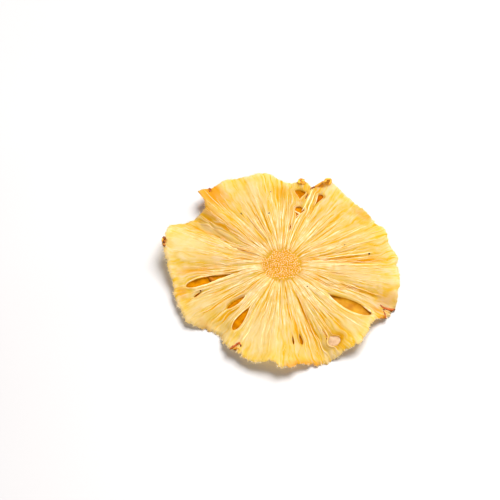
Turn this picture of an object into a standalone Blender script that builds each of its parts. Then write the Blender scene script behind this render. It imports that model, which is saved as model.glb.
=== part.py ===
"""A dried pineapple slice: one thin wavy solid that lies on a table.

The fruit is a tough round core with fruitlets fanning out from it. Each fruitlet ends in its own
stretch of rim, which curled up or down as it dried. Seed cavities are slits between the fibres,
which part around them. The slice touches the table at the lowest folds of its rim.

The slice is built as a net of columns, which run out from the core as the fibres do, and rows,
which go round it. The upper and the lower face share the net. A cavity opens along one column.
"""

import math
from typing import NamedTuple

import bpy
from mathutils import Vector, noise

MM = 0.001

# The whole slice. A share is of the way along a fibre, from the core's edge to the rim.
CORE_RADIUS = 6.6 * MM
CORE_THICKNESS = 3.0 * MM
CORE_HEIGHT = 3.4 * MM  # the middle of the core's thickness, above the table
CORE_DISH = 0.45 * MM  # how far the middle of the core's upper face is sunk
CORE_HOLLOW = 0.18 * MM  # the same on its lower face
FLESH_THICKNESS = 2.1 * MM  # at the core
RIM_THICKNESS = 1.5 * MM
EDGE_THICKNESS = 0.8 * MM  # of the very edge, at the rim and round the cavities
COLLAR_HEIGHT = 0.5 * MM  # the swelling of the flesh round the core
COLLAR_SHARE = 0.3  # how far out the collar reaches
CURL_POWER = 1.9  # how late along a fibre the rim starts to rise or fall
LEAST_THICKNESS = 0.7  # of a flattened fold on the table, as a share of the sheet's own

# The net of columns and rows
COLUMNS = 180
ROWS = 14
COLUMN_STEP = 360.0 / COLUMNS  # degrees
CORE_RINGS = ((0.80, 45), (0.52, 45), (0.22, 15))  # share of the core's radius, and columns
ROW_SHIFT_COLUMNS = 3.0  # how many columns away from a cavity its rows are even again
ROW_SHIFT_ROWS = 2.0  # how many rows beyond its ends

# Cavities. Their blunt end is as round as the power is low.
BLUNT_POWER = 0.6
PARTING_REACH = 2.6  # how far fibres are pushed aside, in half-widths of the cavity

# Small unevenness of the rim
RIM_FRAY = 0.6 * MM
FRAYS_ROUND = 9.0  # noise cells per radian

# Bundles of fibre, as ridges on both faces
BUNDLES_ROUND = 7.5  # noise cells per radian
BUNDLE_LENGTH = 25.0 * MM
BUNDLE_SHARPNESS = 3.2
BUNDLE_RELIEF = 0.34 * MM
UNDERSIDE_RELIEF = 0.24 * MM
UNDERSIDE_SHIFT = 7.0  # noise cells between the two faces, so that their bundles differ
EDGE_RELIEF = 0.45  # share of the relief that is left at an edge
RELIEF_SHARE = 0.15  # how far out from the core the relief is whole

# Folds
CREASE_POWER = 0.7  # how soon a fold is at its full depth
CREASE_FADE = 0.12  # share before the rim over which a fold loses half its depth

FLESH_COLOUR = (0.95, 0.62, 0.18, 1.0)
FLESH_ROUGHNESS = 0.62


class Fruitlet(NamedTuple):
    """One fruitlet's stretch of rim. Heights are of the middle of the rim's thickness."""

    angle: float  # degrees, anticlockwise from +X
    reach: float  # mm from the core's centre to the rim
    notch: float  # mm that the rim draws back before the next fruitlet
    rise: float  # mm above the table at the fruitlet's middle; under 0.4, the rim lies flat on it
    sag: float  # mm above the table between this fruitlet and the next
    notch_at: float = 0.5  # where the notch is, as a share of the way to the next fruitlet
    sag_at: float = 0.5  # where the sag is, on the same way


class Cavity(NamedTuple):
    """A seed cavity, open through the slice: a drop-shaped slit along the fibres."""

    angle: float  # degrees
    inner: float  # mm from the centre to its pointed end
    outer: float  # mm from the centre to its blunt end
    width: float  # mm across at its widest
    lean: float = 0.0  # degrees that its blunt end lies ahead of its pointed one
    widest: float = 0.68  # where it is widest, as a share of its length


class Scab(NamedTuple):
    """A swollen, browned spot, thicker than the sheet round it."""

    angle: float  # degrees
    radius: float  # mm from the centre
    size: float  # mm from its middle to where it has faded away
    swelling: float  # mm added to the upper face; the lower one gets half as much


class Crease(NamedTuple):
    """A fold along the fibres. A positive depth is a valley in the upper face, a negative one a ridge."""

    angle: float  # degrees
    inner: float  # mm
    outer: float  # mm
    depth: float  # mm
    spread: float  # degrees to either side
    lean: float = 0.0  # degrees that its outer end lies ahead of its inner one


FRUITLETS = (
    Fruitlet(4, 40.9, 0.7, 3.4, 4.2),
    Fruitlet(18, 39.4, 1.0, 6.2, 3.4),
    Fruitlet(38, 40.1, 1.2, 0.1, 3.4),
    Fruitlet(64, 39.4, 2.4, 6.2, 4.8),
    Fruitlet(76, 36.1, 0.8, 5.6, 3.8, 0.35),
    Fruitlet(101, 39.0, 0.5, 6.6, 5.0, 0.6),
    Fruitlet(121, 42.3, 0.8, 4.2, 3.6),
    Fruitlet(135, 42.7, 6.2, 6.6, 0.0, 0.15, 0.42),
    Fruitlet(165, 42.8, 1.4, 8.6, 5.0),
    Fruitlet(202, 39.2, 0.2, 2.6, 2.8),
    Fruitlet(212, 39.2, 4.3, 2.4, -0.1),
    Fruitlet(243, 37.6, 0.0, 4.2, 3.6),
    Fruitlet(256, 39.5, 1.2, 3.8, 5.6),
    Fruitlet(270, 40.0, 0.8, 4.6, 2.6),
    Fruitlet(291, 39.6, 1.0, -0.2, 2.8),
    Fruitlet(311, 40.9, 3.0, 5.0, 3.6, 0.43),
    Fruitlet(337, 41.8, 0.0, -0.2, 3.0),
    Fruitlet(349, 41.3, 0.9, 5.0, 4.0, 0.7),
)

CAVITIES = (
    Cavity(325.4, 19.4, 36.2, 4.6, 3.4, 0.62),
    Cavity(192.6, 15.4, 34.8, 3.4, 2.8, 0.72),
    Cavity(200.5, 29.3, 33.5, 0.8, 2.7),
    Cavity(222.2, 17.7, 25.6, 1.7, -2.2, 0.55),
    Cavity(235.7, 20.2, 30.8, 2.9, 0.6, 0.66),
    Cavity(276.4, 27.4, 31.9, 0.8),
    Cavity(281.6, 27.2, 31.8, 1.2),
    Cavity(300.7, 32.6, 38.0, 4.4, 0.0, 0.55),
    Cavity(63.7, 27.5, 33.3, 1.8, -1.5, 0.80),
    Cavity(76.9, 28.2, 33.0, 4.0, 0.0, 0.58),
    Cavity(75.0, 20.6, 26.0, 2.4, 0.0, 0.60),
    Cavity(79.0, 14.6, 17.8, 0.7, 0.0, 0.60),
)

SCABS = (
    Scab(170.0, 41.2, 3.4, 0.8),
    Scab(75.5, 35.0, 3.2, 0.8),
    Scab(64.0, 38.4, 3.2, 0.8),
    Scab(130.0, 41.0, 3.0, 0.6),
    Scab(331.0, 39.6, 3.2, 0.6),
)

CREASES = (
    Crease(156.6, 8.0, 30.0, 0.9, 2.6, -2.5),
    Crease(151.0, 15.0, 40.0, 1.9, 5.5, -4.0),
    Crease(138.0, 12.0, 36.0, -0.9, 6.0, -2.0),
    Crease(184.0, 17.0, 40.0, 1.0, 7.0),
    Crease(172.0, 14.0, 38.0, -0.7, 5.0),
    Crease(120.5, 9.0, 30.0, 0.6, 2.6, 1.5),
    Crease(107.0, 12.0, 36.0, 0.5, 2.6, -2.0),
    Crease(91.0, 22.0, 37.0, 0.9, 5.0),
    Crease(14.0, 8.0, 30.0, 0.6, 2.0, -2.0),
    Crease(7.5, 11.0, 38.0, 0.8, 2.2, -1.0),
    Crease(3.0, 13.0, 40.0, 0.8, 2.0),
    Crease(333.0, 12.0, 24.0, 0.6, 2.4, 4.0),
    Crease(339.5, 22.0, 38.0, 0.5, 2.2, 1.0),
    Crease(291.0, 9.0, 34.0, 0.9, 3.0, -2.0),
    Crease(308.0, 20.0, 38.0, 0.6, 2.6, 1.0),
    Crease(276.0, 9.0, 24.0, 0.5, 2.2),
    Crease(211.0, 22.0, 38.0, -0.5, 6.0),
    Crease(50.0, 12.0, 34.0, -0.4, 6.0),
    Crease(243.5, 32.0, 39.5, 1.2, 3.5),
)


def smooth(t):
    """Eases from 0 to 1 as t does, and holds beyond."""
    t = min(max(t, 0.0), 1.0)
    return t * t * (3.0 - 2.0 * t)


def turn(angle, middle):
    """The shorter way round from middle to angle, in degrees."""
    return (angle - middle + 180.0) % 360.0 - 180.0


def dip_at(share, lowest):
    """A dip from 0 at both ends of an interval to 1 where it is lowest."""
    return math.sin(math.pi * share ** (math.log(0.5) / math.log(lowest))) ** 2


def fray(angle):
    """The small unevenness of the rim."""
    turned = math.radians(angle)
    x = FRAYS_ROUND * math.cos(turned)
    y = FRAYS_ROUND * math.sin(turned)
    return RIM_FRAY * noise.noise(Vector((x, y, 0.5)))


def rim(angle):
    """The rim's distance from the centre and its height above the table, at an angle in degrees."""
    angle = FRUITLETS[0].angle + (angle - FRUITLETS[0].angle) % 360.0
    following = FRUITLETS[1:] + (FRUITLETS[0]._replace(angle=FRUITLETS[0].angle + 360.0),)
    for here, after in zip(FRUITLETS, following):
        if angle <= after.angle:
            break
    share = (angle - here.angle) / (after.angle - here.angle)
    reach = here.reach + (after.reach - here.reach) * smooth(share)
    reach -= here.notch * dip_at(share, here.notch_at)
    level = here.rise + (after.rise - here.rise) * smooth(share)
    unsagged = here.rise + (after.rise - here.rise) * smooth(here.sag_at)
    height = level + (here.sag - unsagged) * dip_at(share, here.sag_at)
    return reach * MM + fray(angle), height * MM


def drop_width(cavity, radius):
    """Half the cavity's width at a distance from the centre, in metres: none beyond its ends."""
    share = (radius / MM - cavity.inner) / (cavity.outer - cavity.inner)
    if not 0.0 < share < 1.0:
        return 0.0
    sharp_power = BLUNT_POWER * cavity.widest / (1.0 - cavity.widest)
    peak = cavity.widest**sharp_power * (1.0 - cavity.widest) ** BLUNT_POWER
    return 0.5 * cavity.width * MM * share**sharp_power * (1.0 - share) ** BLUNT_POWER / peak


def column_of(cavity):
    """The column that the cavity opens along."""
    return round(cavity.angle / COLUMN_STEP) % COLUMNS


def evenly_spaced_row(angle, row):
    return CORE_RADIUS + (rim(angle)[0] - CORE_RADIUS) * row / ROWS


def tip_rows(cavity):
    """The rows that hold the cavity's two ends. Between them its column is split in two."""
    spacing = evenly_spaced_row(column_of(cavity) * COLUMN_STEP, 1) - CORE_RADIUS
    first = round((cavity.inner * MM - CORE_RADIUS) / spacing)
    last = round((cavity.outer * MM - CORE_RADIUS) / spacing)
    return first, min(max(last, first + 2), ROWS - 1)


def row_radius(angle, row):
    """How far out a row is at an angle. Rows shift so that one lands on each end of a cavity."""
    radius = evenly_spaced_row(angle, row)
    for cavity in CAVITIES:
        away = abs(turn(angle, cavity.angle)) / (ROW_SHIFT_COLUMNS * COLUMN_STEP)
        if away >= 1.0:
            continue
        first, last = tip_rows(cavity)
        to_inner = cavity.inner * MM - evenly_spaced_row(angle, first)
        to_outer = cavity.outer * MM - evenly_spaced_row(angle, last)
        along = min(max((row - first) / (last - first), 0.0), 1.0)
        beyond = max(first - row, row - last, 0) / ROW_SHIFT_ROWS
        fade = smooth(1.0 - away) * max(1.0 - beyond, 0.0)
        radius += fade * (to_inner + (to_outer - to_inner) * along)
    return min(radius, rim(angle)[0]) if row < ROWS else rim(angle)[0]


def parted_angle(angle, radius, side):
    """The angle of a fibre after the cavities have pushed it aside.

    Side is -1 or 1 on a cavity's own column, and says which way that fibre goes.
    """
    moved = angle
    for cavity in CAVITIES:
        middle = column_of(cavity) * COLUMN_STEP
        away = turn(angle, middle)
        half = math.degrees(drop_width(cavity, radius) / radius)
        widest_radius = cavity.inner + cavity.widest * (cavity.outer - cavity.inner)
        widest = math.degrees(0.5 * cavity.width / widest_radius)
        reach = PARTING_REACH * widest + 2.0 * COLUMN_STEP
        if abs(away) >= reach:
            continue
        fade = (1.0 - abs(away) / reach) ** 2
        along = (radius / MM - cavity.inner) / (cavity.outer - cavity.inner)
        drift = turn(cavity.angle, middle) + cavity.lean * (min(max(along, 0.0), 1.0) - 0.5)
        way = side if away == 0.0 else math.copysign(1.0, away)
        moved += fade * (drift + way * half)
    return moved


def crease_depth(angle, radius):
    """How far the folds lower the sheet at a place."""
    depth = 0.0
    for crease in CREASES:
        along = (radius / MM - crease.inner) / (crease.outer - crease.inner)
        if not 0.0 < along < 1.0:
            continue
        across = turn(angle, crease.angle + crease.lean * (along - 0.5)) / crease.spread
        if abs(across) < 1.0:
            along_fade = math.sin(math.pi * along) ** CREASE_POWER
            depth += crease.depth * MM * smooth(1.0 - abs(across)) * along_fade
    return depth


def swelling(angle, radius):
    """How much the browned spots thicken the upper face at a place."""
    total = 0.0
    for scab in SCABS:
        across = math.radians(turn(angle, scab.angle)) * scab.radius
        share = math.hypot(across, radius / MM - scab.radius) / scab.size
        if share < 1.0:
            total += scab.swelling * MM * (1.0 - share * share) ** 2
    return total


def bundle_relief(angle, radius, face):
    """Ridges of fibre, from -1 to 1: many narrow ones round the slice, long along its radius."""
    turned = math.radians(angle)
    x = BUNDLES_ROUND * math.cos(turned)
    y = BUNDLES_ROUND * math.sin(turned)
    z = radius / BUNDLE_LENGTH + UNDERSIDE_SHIFT * face
    return 1.0 - BUNDLE_SHARPNESS * abs(noise.noise(Vector((x, y, z))))


def thickness_at(share):
    """The sheet's thickness from the core's edge, at 0, to the rim, at 1."""
    return FLESH_THICKNESS + (RIM_THICKNESS - FLESH_THICKNESS) * smooth(share)


def flesh_heights(angle, radius, at_edge):
    """Heights of the upper and the lower face of the flesh at a place."""
    rim_radius, rim_height = rim(angle)
    share = min(max((radius - CORE_RADIUS) / (rim_radius - CORE_RADIUS), 0.0), 1.0)
    collar = COLLAR_HEIGHT * math.sin(math.pi * min(share / COLLAR_SHARE, 1.0))
    middle = CORE_HEIGHT + (rim_height - CORE_HEIGHT) * share**CURL_POWER + collar
    middle -= crease_depth(angle, radius) * smooth(0.5 + (1.0 - share) / CREASE_FADE)
    thickness = EDGE_THICKNESS if at_edge else thickness_at(share)
    ridged = EDGE_RELIEF if at_edge else smooth(share / RELIEF_SHARE)
    swollen = swelling(angle, radius)
    upper = middle + 0.5 * thickness + swollen
    upper += ridged * BUNDLE_RELIEF * bundle_relief(angle, radius, 0)
    lower = middle - 0.5 * thickness - 0.5 * swollen
    lower += ridged * UNDERSIDE_RELIEF * bundle_relief(angle, radius, 1)
    # Where the sheet would sink into the table it lies flat on it, at its own thickness.
    lower = max(lower, 0.0)
    return max(upper, lower + LEAST_THICKNESS * thickness), lower


def core_heights(share):
    """Heights of the core's upper and lower face at a share of its radius."""
    sunk = 1.0 - share * share
    half = 0.5 * (CORE_THICKNESS + (FLESH_THICKNESS - CORE_THICKNESS) * share**4)
    return CORE_HEIGHT + half - CORE_DISH * sunk, CORE_HEIGHT - half + CORE_HOLLOW * sunk


class Net:
    """The slice's vertices, by face, and its triangles. Each face of the sheet is split alike."""

    def __init__(self):
        self.points = []
        self.triangles = []
        self.open_rows = {}  # column to the rows at which a cavity splits it
        self.tips = {}  # column to the first and last row of each cavity on it
        for cavity in CAVITIES:
            first, last = tip_rows(cavity)
            self.open_rows.setdefault(column_of(cavity), set()).update(range(first + 1, last))
            self.tips.setdefault(column_of(cavity), []).append((first, last))
        self.flesh = {}

    def pair(self, x, y, heights):
        """Adds a vertex on the upper and on the lower face, and returns both numbers."""
        self.points.extend(((x, y, heights[0]), (x, y, heights[1])))
        return len(self.points) - 2, len(self.points) - 1

    def flesh_pair(self, column, row, side):
        """The vertices of the flesh at a column and row. On a cavity, side says which lip of it."""
        column %= COLUMNS
        on_lip = row in self.open_rows.get(column, ())
        key = (column, row, side if on_lip else 0)
        if key not in self.flesh:
            angle = column * COLUMN_STEP
            radius = row_radius(angle, row)
            at_tip = any(row in ends for ends in self.tips.get(column, ()))
            heights = flesh_heights(angle, radius, on_lip or at_tip or row == ROWS)
            turned = math.radians(parted_angle(angle, radius, key[2]))
            self.flesh[key] = self.pair(radius * math.cos(turned), radius * math.sin(turned), heights)
        return self.flesh[key]

    def triangle(self, a, b, c):
        """One triangle on the upper face, and the same one turned over on the lower face."""
        self.triangles.append((a[0], b[0], c[0]))
        self.triangles.append((c[1], b[1], a[1]))

    def wall(self, a, b):
        """The side of the sheet between two places, with the open air to the right of a to b."""
        self.triangles.append((b[0], a[0], a[1]))
        self.triangles.append((b[0], a[1], b[1]))

    def add_flesh(self):
        for column in range(COLUMNS):
            for row in range(ROWS):
                a = self.flesh_pair(column, row, 1)
                b = self.flesh_pair(column, row + 1, 1)
                c = self.flesh_pair(column + 1, row + 1, -1)
                d = self.flesh_pair(column + 1, row, -1)
                self.triangle(a, b, c)
                self.triangle(a, c, d)
            self.wall(self.flesh_pair(column, ROWS, 1), self.flesh_pair(column + 1, ROWS, -1))

    def add_cavity_walls(self):
        for column, spans in self.tips.items():
            for first, last in spans:
                for row in range(first, last):
                    self.wall(self.flesh_pair(column, row + 1, -1), self.flesh_pair(column, row, -1))
                    self.wall(self.flesh_pair(column, row, 1), self.flesh_pair(column, row + 1, 1))

    def join_rings(self, outer, inner):
        """Fills between two rings round the core. The outer has one, two or more times as many places."""
        times = len(outer) // len(inner)
        for place, here in enumerate(inner):
            after = inner[(place + 1) % len(inner)]
            along = [outer[(place * times + step) % len(outer)] for step in range(times + 1)]
            for step in range(times):
                self.triangle(here if step < times // 2 else after, along[step], along[step + 1])
            self.triangle(here, along[times // 2], after)

    def add_core(self):
        outer = [self.flesh_pair(column, 0, 1) for column in range(COLUMNS)]
        for share, columns in CORE_RINGS:
            radius = share * CORE_RADIUS
            inner = []
            for column in range(columns):
                turned = 2.0 * math.pi * column / columns
                x = radius * math.cos(turned)
                y = radius * math.sin(turned)
                inner.append(self.pair(x, y, core_heights(share)))
            self.join_rings(outer, inner)
            outer = inner
        centre = self.pair(0.0, 0.0, core_heights(0.0))
        for place, here in enumerate(outer):
            self.triangle(centre, here, outer[(place + 1) % len(outer)])


def flesh_material():
    material = bpy.data.materials.new("dried_flesh")
    material.use_nodes = True
    shader = material.node_tree.nodes["Principled BSDF"]
    shader.inputs["Base Color"].default_value = FLESH_COLOUR
    shader.inputs["Roughness"].default_value = FLESH_ROUGHNESS
    shader.inputs["Metallic"].default_value = 0.0
    return material


def over_origin(points):
    """The points, moved so that the middle of their box's base is at the origin."""
    low = [min(point[axis] for point in points) for axis in range(3)]
    high = [max(point[axis] for point in points) for axis in range(3)]
    shift = (-0.5 * (low[0] + high[0]), -0.5 * (low[1] + high[1]), -low[2])
    return [tuple(value + move for value, move in zip(point, shift)) for point in points]


def build_slice():
    net = Net()
    net.add_flesh()
    net.add_cavity_walls()
    net.add_core()
    mesh = bpy.data.meshes.new("pineapple_slice")
    mesh.from_pydata(over_origin(net.points), [], net.triangles)
    mesh.validate()
    mesh.shade_smooth()
    mesh.set_sharp_from_angle(angle=math.radians(50.0))
    mesh.materials.append(flesh_material())
    slice_object = bpy.data.objects.new("pineapple_slice", mesh)
    bpy.context.scene.collection.objects.link(slice_object)
    return slice_object


def main():
    for leftover in list(bpy.data.objects):
        bpy.data.objects.remove(leftover)
    build_slice()


main()
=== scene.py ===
"""The looks of a dried pineapple slice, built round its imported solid.

A fine net of flesh replaces the plain solid. It has the same fruitlets, folds and seed cavities,
and on them the fibres, their grooves and the frayed rim. Loose fibres, the stippled core, strands
across the cavities and browned scabs lie on it. Sizes of the fruit are in mm and degrees.
"""

import logging
import math
import random
from dataclasses import dataclass, field
from enum import Enum
from typing import Iterable, NamedTuple, Optional, Sequence, Union

import bpy
from mathutils import Matrix, Vector, noise


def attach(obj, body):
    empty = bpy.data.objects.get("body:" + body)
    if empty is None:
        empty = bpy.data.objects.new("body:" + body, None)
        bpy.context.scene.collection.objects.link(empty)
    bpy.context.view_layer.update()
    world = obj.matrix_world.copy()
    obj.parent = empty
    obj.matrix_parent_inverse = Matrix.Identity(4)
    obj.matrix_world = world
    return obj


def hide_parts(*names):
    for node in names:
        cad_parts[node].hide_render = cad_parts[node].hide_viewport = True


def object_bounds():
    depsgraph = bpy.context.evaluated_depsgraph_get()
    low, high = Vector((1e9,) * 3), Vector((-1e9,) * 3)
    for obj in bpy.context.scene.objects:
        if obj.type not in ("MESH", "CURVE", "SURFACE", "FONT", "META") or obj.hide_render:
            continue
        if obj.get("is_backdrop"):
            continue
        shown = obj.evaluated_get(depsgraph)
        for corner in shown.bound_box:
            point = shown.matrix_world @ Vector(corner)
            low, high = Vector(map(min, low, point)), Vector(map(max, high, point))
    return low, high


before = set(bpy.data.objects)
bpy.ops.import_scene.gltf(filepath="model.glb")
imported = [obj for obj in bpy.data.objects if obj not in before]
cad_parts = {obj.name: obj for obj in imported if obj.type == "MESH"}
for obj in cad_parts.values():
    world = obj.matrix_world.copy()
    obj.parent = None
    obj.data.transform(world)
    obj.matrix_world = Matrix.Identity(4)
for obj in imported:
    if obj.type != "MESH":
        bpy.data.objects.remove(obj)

CAD_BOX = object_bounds()
NODE = "pineapple_slice"
BODY = "root"
MM = 0.001
LOG = logging.getLogger("dried_pineapple_slice")

CORE_ORIGIN = Vector((0.000437, 0.001022, 0.0))
SLICE_MIDDLE = Vector((-0.0113, 0.0061, 0.0045))

Colour = tuple[float, float, float]
Point = tuple[float, float, float]
Place = tuple[int, int, int]
Line = list[tuple[Point, float]]
Socket = bpy.types.NodeSocket
Value = Union[Socket, float, Colour]


class Face(Enum):
    """A face of the sheet of flesh. The value tells their fibres apart."""

    UPPER = 0
    LOWER = 1


class Lip(Enum):
    """Which lip of a seed cavity a fibre belongs to, by the way that it is pushed aside."""

    CLOCKWISE = -1
    NONE = 0
    ANTICLOCKWISE = 1


class Tint(Enum):
    """What a patch of colour does to the flesh; some gold patches are painted shade. The value is the name of
    its attribute.
    """

    # Gold: the flesh's own gold in places, and painted shade on slopes, dips, hollows and the down-curled rim
    # elsewhere.
    GOLD_AND_SHADE = "gold"
    BROWN = "brown"
    PALE = "pale"


class Skin(Enum):
    """A kind of sheet inside the cavities; all but the pale one are painted shadow. The value is the name of
    its piece.
    """

    PALE = "pale_cavity_skin"
    AMBER = "amber_painted_shadow_skin"
    GOLDEN = "golden_painted_shadow_skins"
    DEEP_SHADOW = "deep_painted_shadow_skins"


class Fruitlet(NamedTuple):
    """One fruitlet's stretch of rim, with heights of the middle of its thickness above the table."""

    angle: float
    reach: float
    notch: float
    rise: float
    sag: float
    notch_at: float = 0.5
    sag_at: float = 0.5


class Cavity(NamedTuple):
    """A drop-shaped slit along the fibres, its greatest width, and how golden its walls are, which also
    darkens them as painted shade.
    """

    angle: float
    inner: float
    outer: float
    width: float
    lean: float = 0.0
    widest: float = 0.68
    gold: float = 0.5


class Scab(NamedTuple):
    """A swollen, browned spot: its place, its size and how much it thickens the sheet."""

    angle: float
    radius: float
    size: float
    swelling: float


class Crease(NamedTuple):
    """A fold along the fibres, a valley where its depth is positive and a ridge where negative."""

    angle: float
    inner: float
    outer: float
    depth: float
    spread: float
    lean: float = 0.0


class StainAndShade(NamedTuple):
    """A patch of another colour: its place, its half sizes along angle and radius, its strength."""

    angle: float
    radius: float
    half_angle: float
    half_radius: float
    strength: float


class Bridge(NamedTuple):
    """A strand across a cavity, from one lip to the other."""

    cavity: int
    start_radius: float
    end_radius: float
    girth: float
    browned: bool


class LipRidge(NamedTuple):
    """A raised edge of flesh along one lip of a cavity, from its inner end outward."""

    cavity: int
    lip: Lip
    start_radius: float
    end_radius: float
    girth: float


class Tendon(NamedTuple):
    """A thick strand on the flesh, from one place to another."""

    start_angle: float
    start_radius: float
    end_angle: float
    end_radius: float
    girth: float
    lift: float


class Curl(NamedTuple):
    """A browned strand or rolled edge: the angles and radii that it passes, girth at its ends, lift."""

    course: tuple[tuple[float, float], ...]
    start_girth: float
    end_girth: float
    lift: float
    burnt: bool


class Film(NamedTuple):
    """A thin sheet inside a cavity, painted shadow unless pale, and how deep it lies as a share of the
    sheet's thickness.
    """

    cavity: int
    depth: float
    skin: Skin


class Crust(NamedTuple):
    """A dark lump of burnt flesh: its place, its half sizes round and outward, its height."""

    angle: float
    radius: float
    half_round: float
    half_outward: float
    height: float
    skew: float = 0.0


class Furrow(NamedTuple):
    """A single deep, golden groove, by the angles and radii that it passes."""

    course: tuple[tuple[float, float], ...]
    half_width: float
    depth: float


class FibreLine(NamedTuple):
    """A groove or crest along the fibres: where it runs, half its width, and how strong it is."""

    angle: float
    start: float
    length: float
    bend: float
    half_width: float
    strength: float


class Relief(NamedTuple):
    """How much each kind of mark on the flesh adds to its height or its tone."""

    plain: float
    pillow: float
    wrinkle: float
    long_groove: float
    short_groove: float
    crest_and_highlight: float
    mottle: float


def records(kind: type, *rows: tuple) -> tuple:
    """Makes a record of one kind from each row of values."""
    return tuple(kind(*row) for row in rows)


FRUITLETS: tuple[Fruitlet, ...] = records(
    Fruitlet,
    (4, 40.9, 0.7, 3.4, 4.2), (18, 39.4, 1, 6.2, 3.4), (38, 40.1, 1.2, 0.1, 3.4),
    (64, 39.4, 2.4, 6.2, 4.8), (76, 36.1, 0.8, 5.6, 3.8, 0.35), (101, 39, 0.5, 6.6, 5, 0.6),
    (121, 42.3, 0.8, 4.2, 3.6), (135, 42.7, 6.2, 6.6, 0, 0.15, 0.42), (165, 42.8, 1.4, 8.6, 5),
    (202, 39.2, 0.2, 2.6, 2.8), (212, 39.2, 4.3, 2.4, -0.1), (243, 37.6, 0, 4.2, 3.6),
    (256, 39.5, 1.2, 3.8, 5.6), (270, 40, 0.8, 4.6, 2.6), (291, 39.6, 1, -0.2, 2.8),
    (311, 40.9, 3, 5, 3.6, 0.43), (337, 41.8, 0, -0.2, 3), (349, 41.3, 0.9, 5, 4, 0.7),
)

CAVITIES: tuple[Cavity, ...] = records(
    Cavity,
    (325.4, 19.4, 36.2, 4.6, 3.4, 0.62, 0.2), (192.6, 15.4, 34.8, 3.4, 2.8, 0.72),
    (200.5, 29.3, 33.5, 0.8, 2.7), (222.2, 17.7, 25.6, 2.1, -2.2, 0.55),
    (235.7, 20.2, 30.8, 2.9, 0.6, 0.66), (276.4, 27.4, 31.9, 0.8), (281.6, 27.2, 31.8, 1.2),
    (300.2, 32.2, 36.2, 4.5, 0, 0.58, 0), (63.7, 26.8, 33.3, 2.1, -1.5, 0.84),
    (76.9, 27.9, 32.9, 4.2, 1.6, 0.8), (75, 20, 26, 3.5, -1, 0.78), (79, 14.6, 17.8, 0.7, 0, 0.6),
)

SCABS: tuple[Scab, ...] = records(
    Scab,
    (170, 41.2, 3.4, 0.8), (75.5, 35, 3.2, 0.8), (64, 38.4, 3.2, 0.8), (130, 41, 3, 0.6),
    (331, 39.6, 3.2, 0.6),
)

CREASES: tuple[Crease, ...] = records(
    Crease,
    (156.6, 8, 30, 0.9, 2.6, -2.5), (151, 15, 40, 1.2, 5.5, -4), (138, 12, 36, -0.4, 6, -2),
    (184, 17, 40, 1, 7), (172, 14, 38, -0.7, 5), (120.5, 9, 30, 0.6, 2.6, 1.5),
    (107, 12, 36, 0.5, 2.6, -2), (91, 22, 37, 0.9, 5), (14, 8, 30, 0.6, 2, -2),
    (7.5, 11, 38, 0.8, 2.2, -1), (3, 13, 40, 0.8, 2), (333, 12, 24, 0.6, 2.4, 4),
    (339.5, 22, 38, 0.5, 2.2, 1), (291, 9, 34, 0.9, 3, -2), (308, 20, 38, 0.2, 2.6, 1),
    (276, 9, 24, 0.5, 2.2), (211, 22, 38, -0.5, 6), (50, 12, 34, -0.4, 6), (243.5, 32, 39.5, 1.2, 3.5),
)

STAINS_AND_SHADE: dict[Tint, tuple[StainAndShade, ...]] = {
    Tint.GOLD_AND_SHADE: records(
        StainAndShade,
        # Painted shade: the gold patches at 185° (slope below the left lobe), 328° and 331.5° (hollows beside
        # cavity 0), 340.5°, 90° (a dip before the rim) and on the down-curled rim at 38°, 224° and 280°; the
        # rest are the flesh's own gold.
        (130, 39, 9.5, 9, 1), (139, 34, 3.5, 5, 0.3), (150.5, 28, 2.2, 8, 0.65),
        (280, 39.5, 15, 2.6, 0.75), (38, 38.5, 9, 3, 0.6), (224, 35.5, 12, 2.4, 0.3),
        (341, 38, 8, 5, 0.32), (331.5, 37.5, 2.6, 5, 1), (328, 41, 4, 3, 1), (70, 34, 7, 3, 0.4),
        (80, 22, 6, 5, 0.4), (75.4, 23.2, 2.6, 3.6, 0.7), (76.5, 30.5, 8, 4.5, 0.35),
        (300.5, 34.5, 8, 4.5, 0.35), (64.2, 29.6, 1, 3.6, 0.9), (73.6, 31, 1.2, 3.4, 0.8),
        (4.5, 28, 3, 12, 0.55), (7.5, 17, 3, 9, 0.55), (156.5, 17.5, 3.2, 8, 0.75),
        (90, 32, 9, 3, 0.35), (196, 36.5, 5, 2.6, 0.7), (185, 30, 4.5, 9, 0.75),
        (340.5, 27, 2.4, 9, 0.6), (288, 26, 2, 5, 0.8), (300, 30, 3, 3, 0.4),
    ),
    Tint.BROWN: records(
        StainAndShade,
        (170.6, 42.3, 2.4, 2, 0.9), (76.5, 35.6, 2.6, 1.5, 0.75), (63.9, 38, 3, 1.9, 0.8),
        (67.5, 36.2, 4.2, 1.2, 0.85), (129.4, 41.2, 1.8, 2, 0.7), (336.2, 40.8, 1.7, 2.6, 0.7),
        (329.2, 40.6, 1.3, 1.8, 0.6), (243.4, 37.2, 2.4, 1.9, 0.75), (61.9, 32.2, 1.3, 1.6, 0.6),
    ),
    Tint.PALE: records(
        StainAndShade,
        (167, 34, 13, 11, 1), (256, 28, 18, 12, 1), (22, 28, 8, 9, 0.6), (351, 26, 8, 14, 0.9),
        (208, 31, 8, 8, 1), (314, 34, 8, 7, 0.9), (112, 32, 12, 7, 0.6), (76.5, 27.2, 4.5, 1.1, 1),
        (146, 27.5, 5, 11, 0.75), (225, 36, 24, 6, 1),
    ),
}

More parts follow.
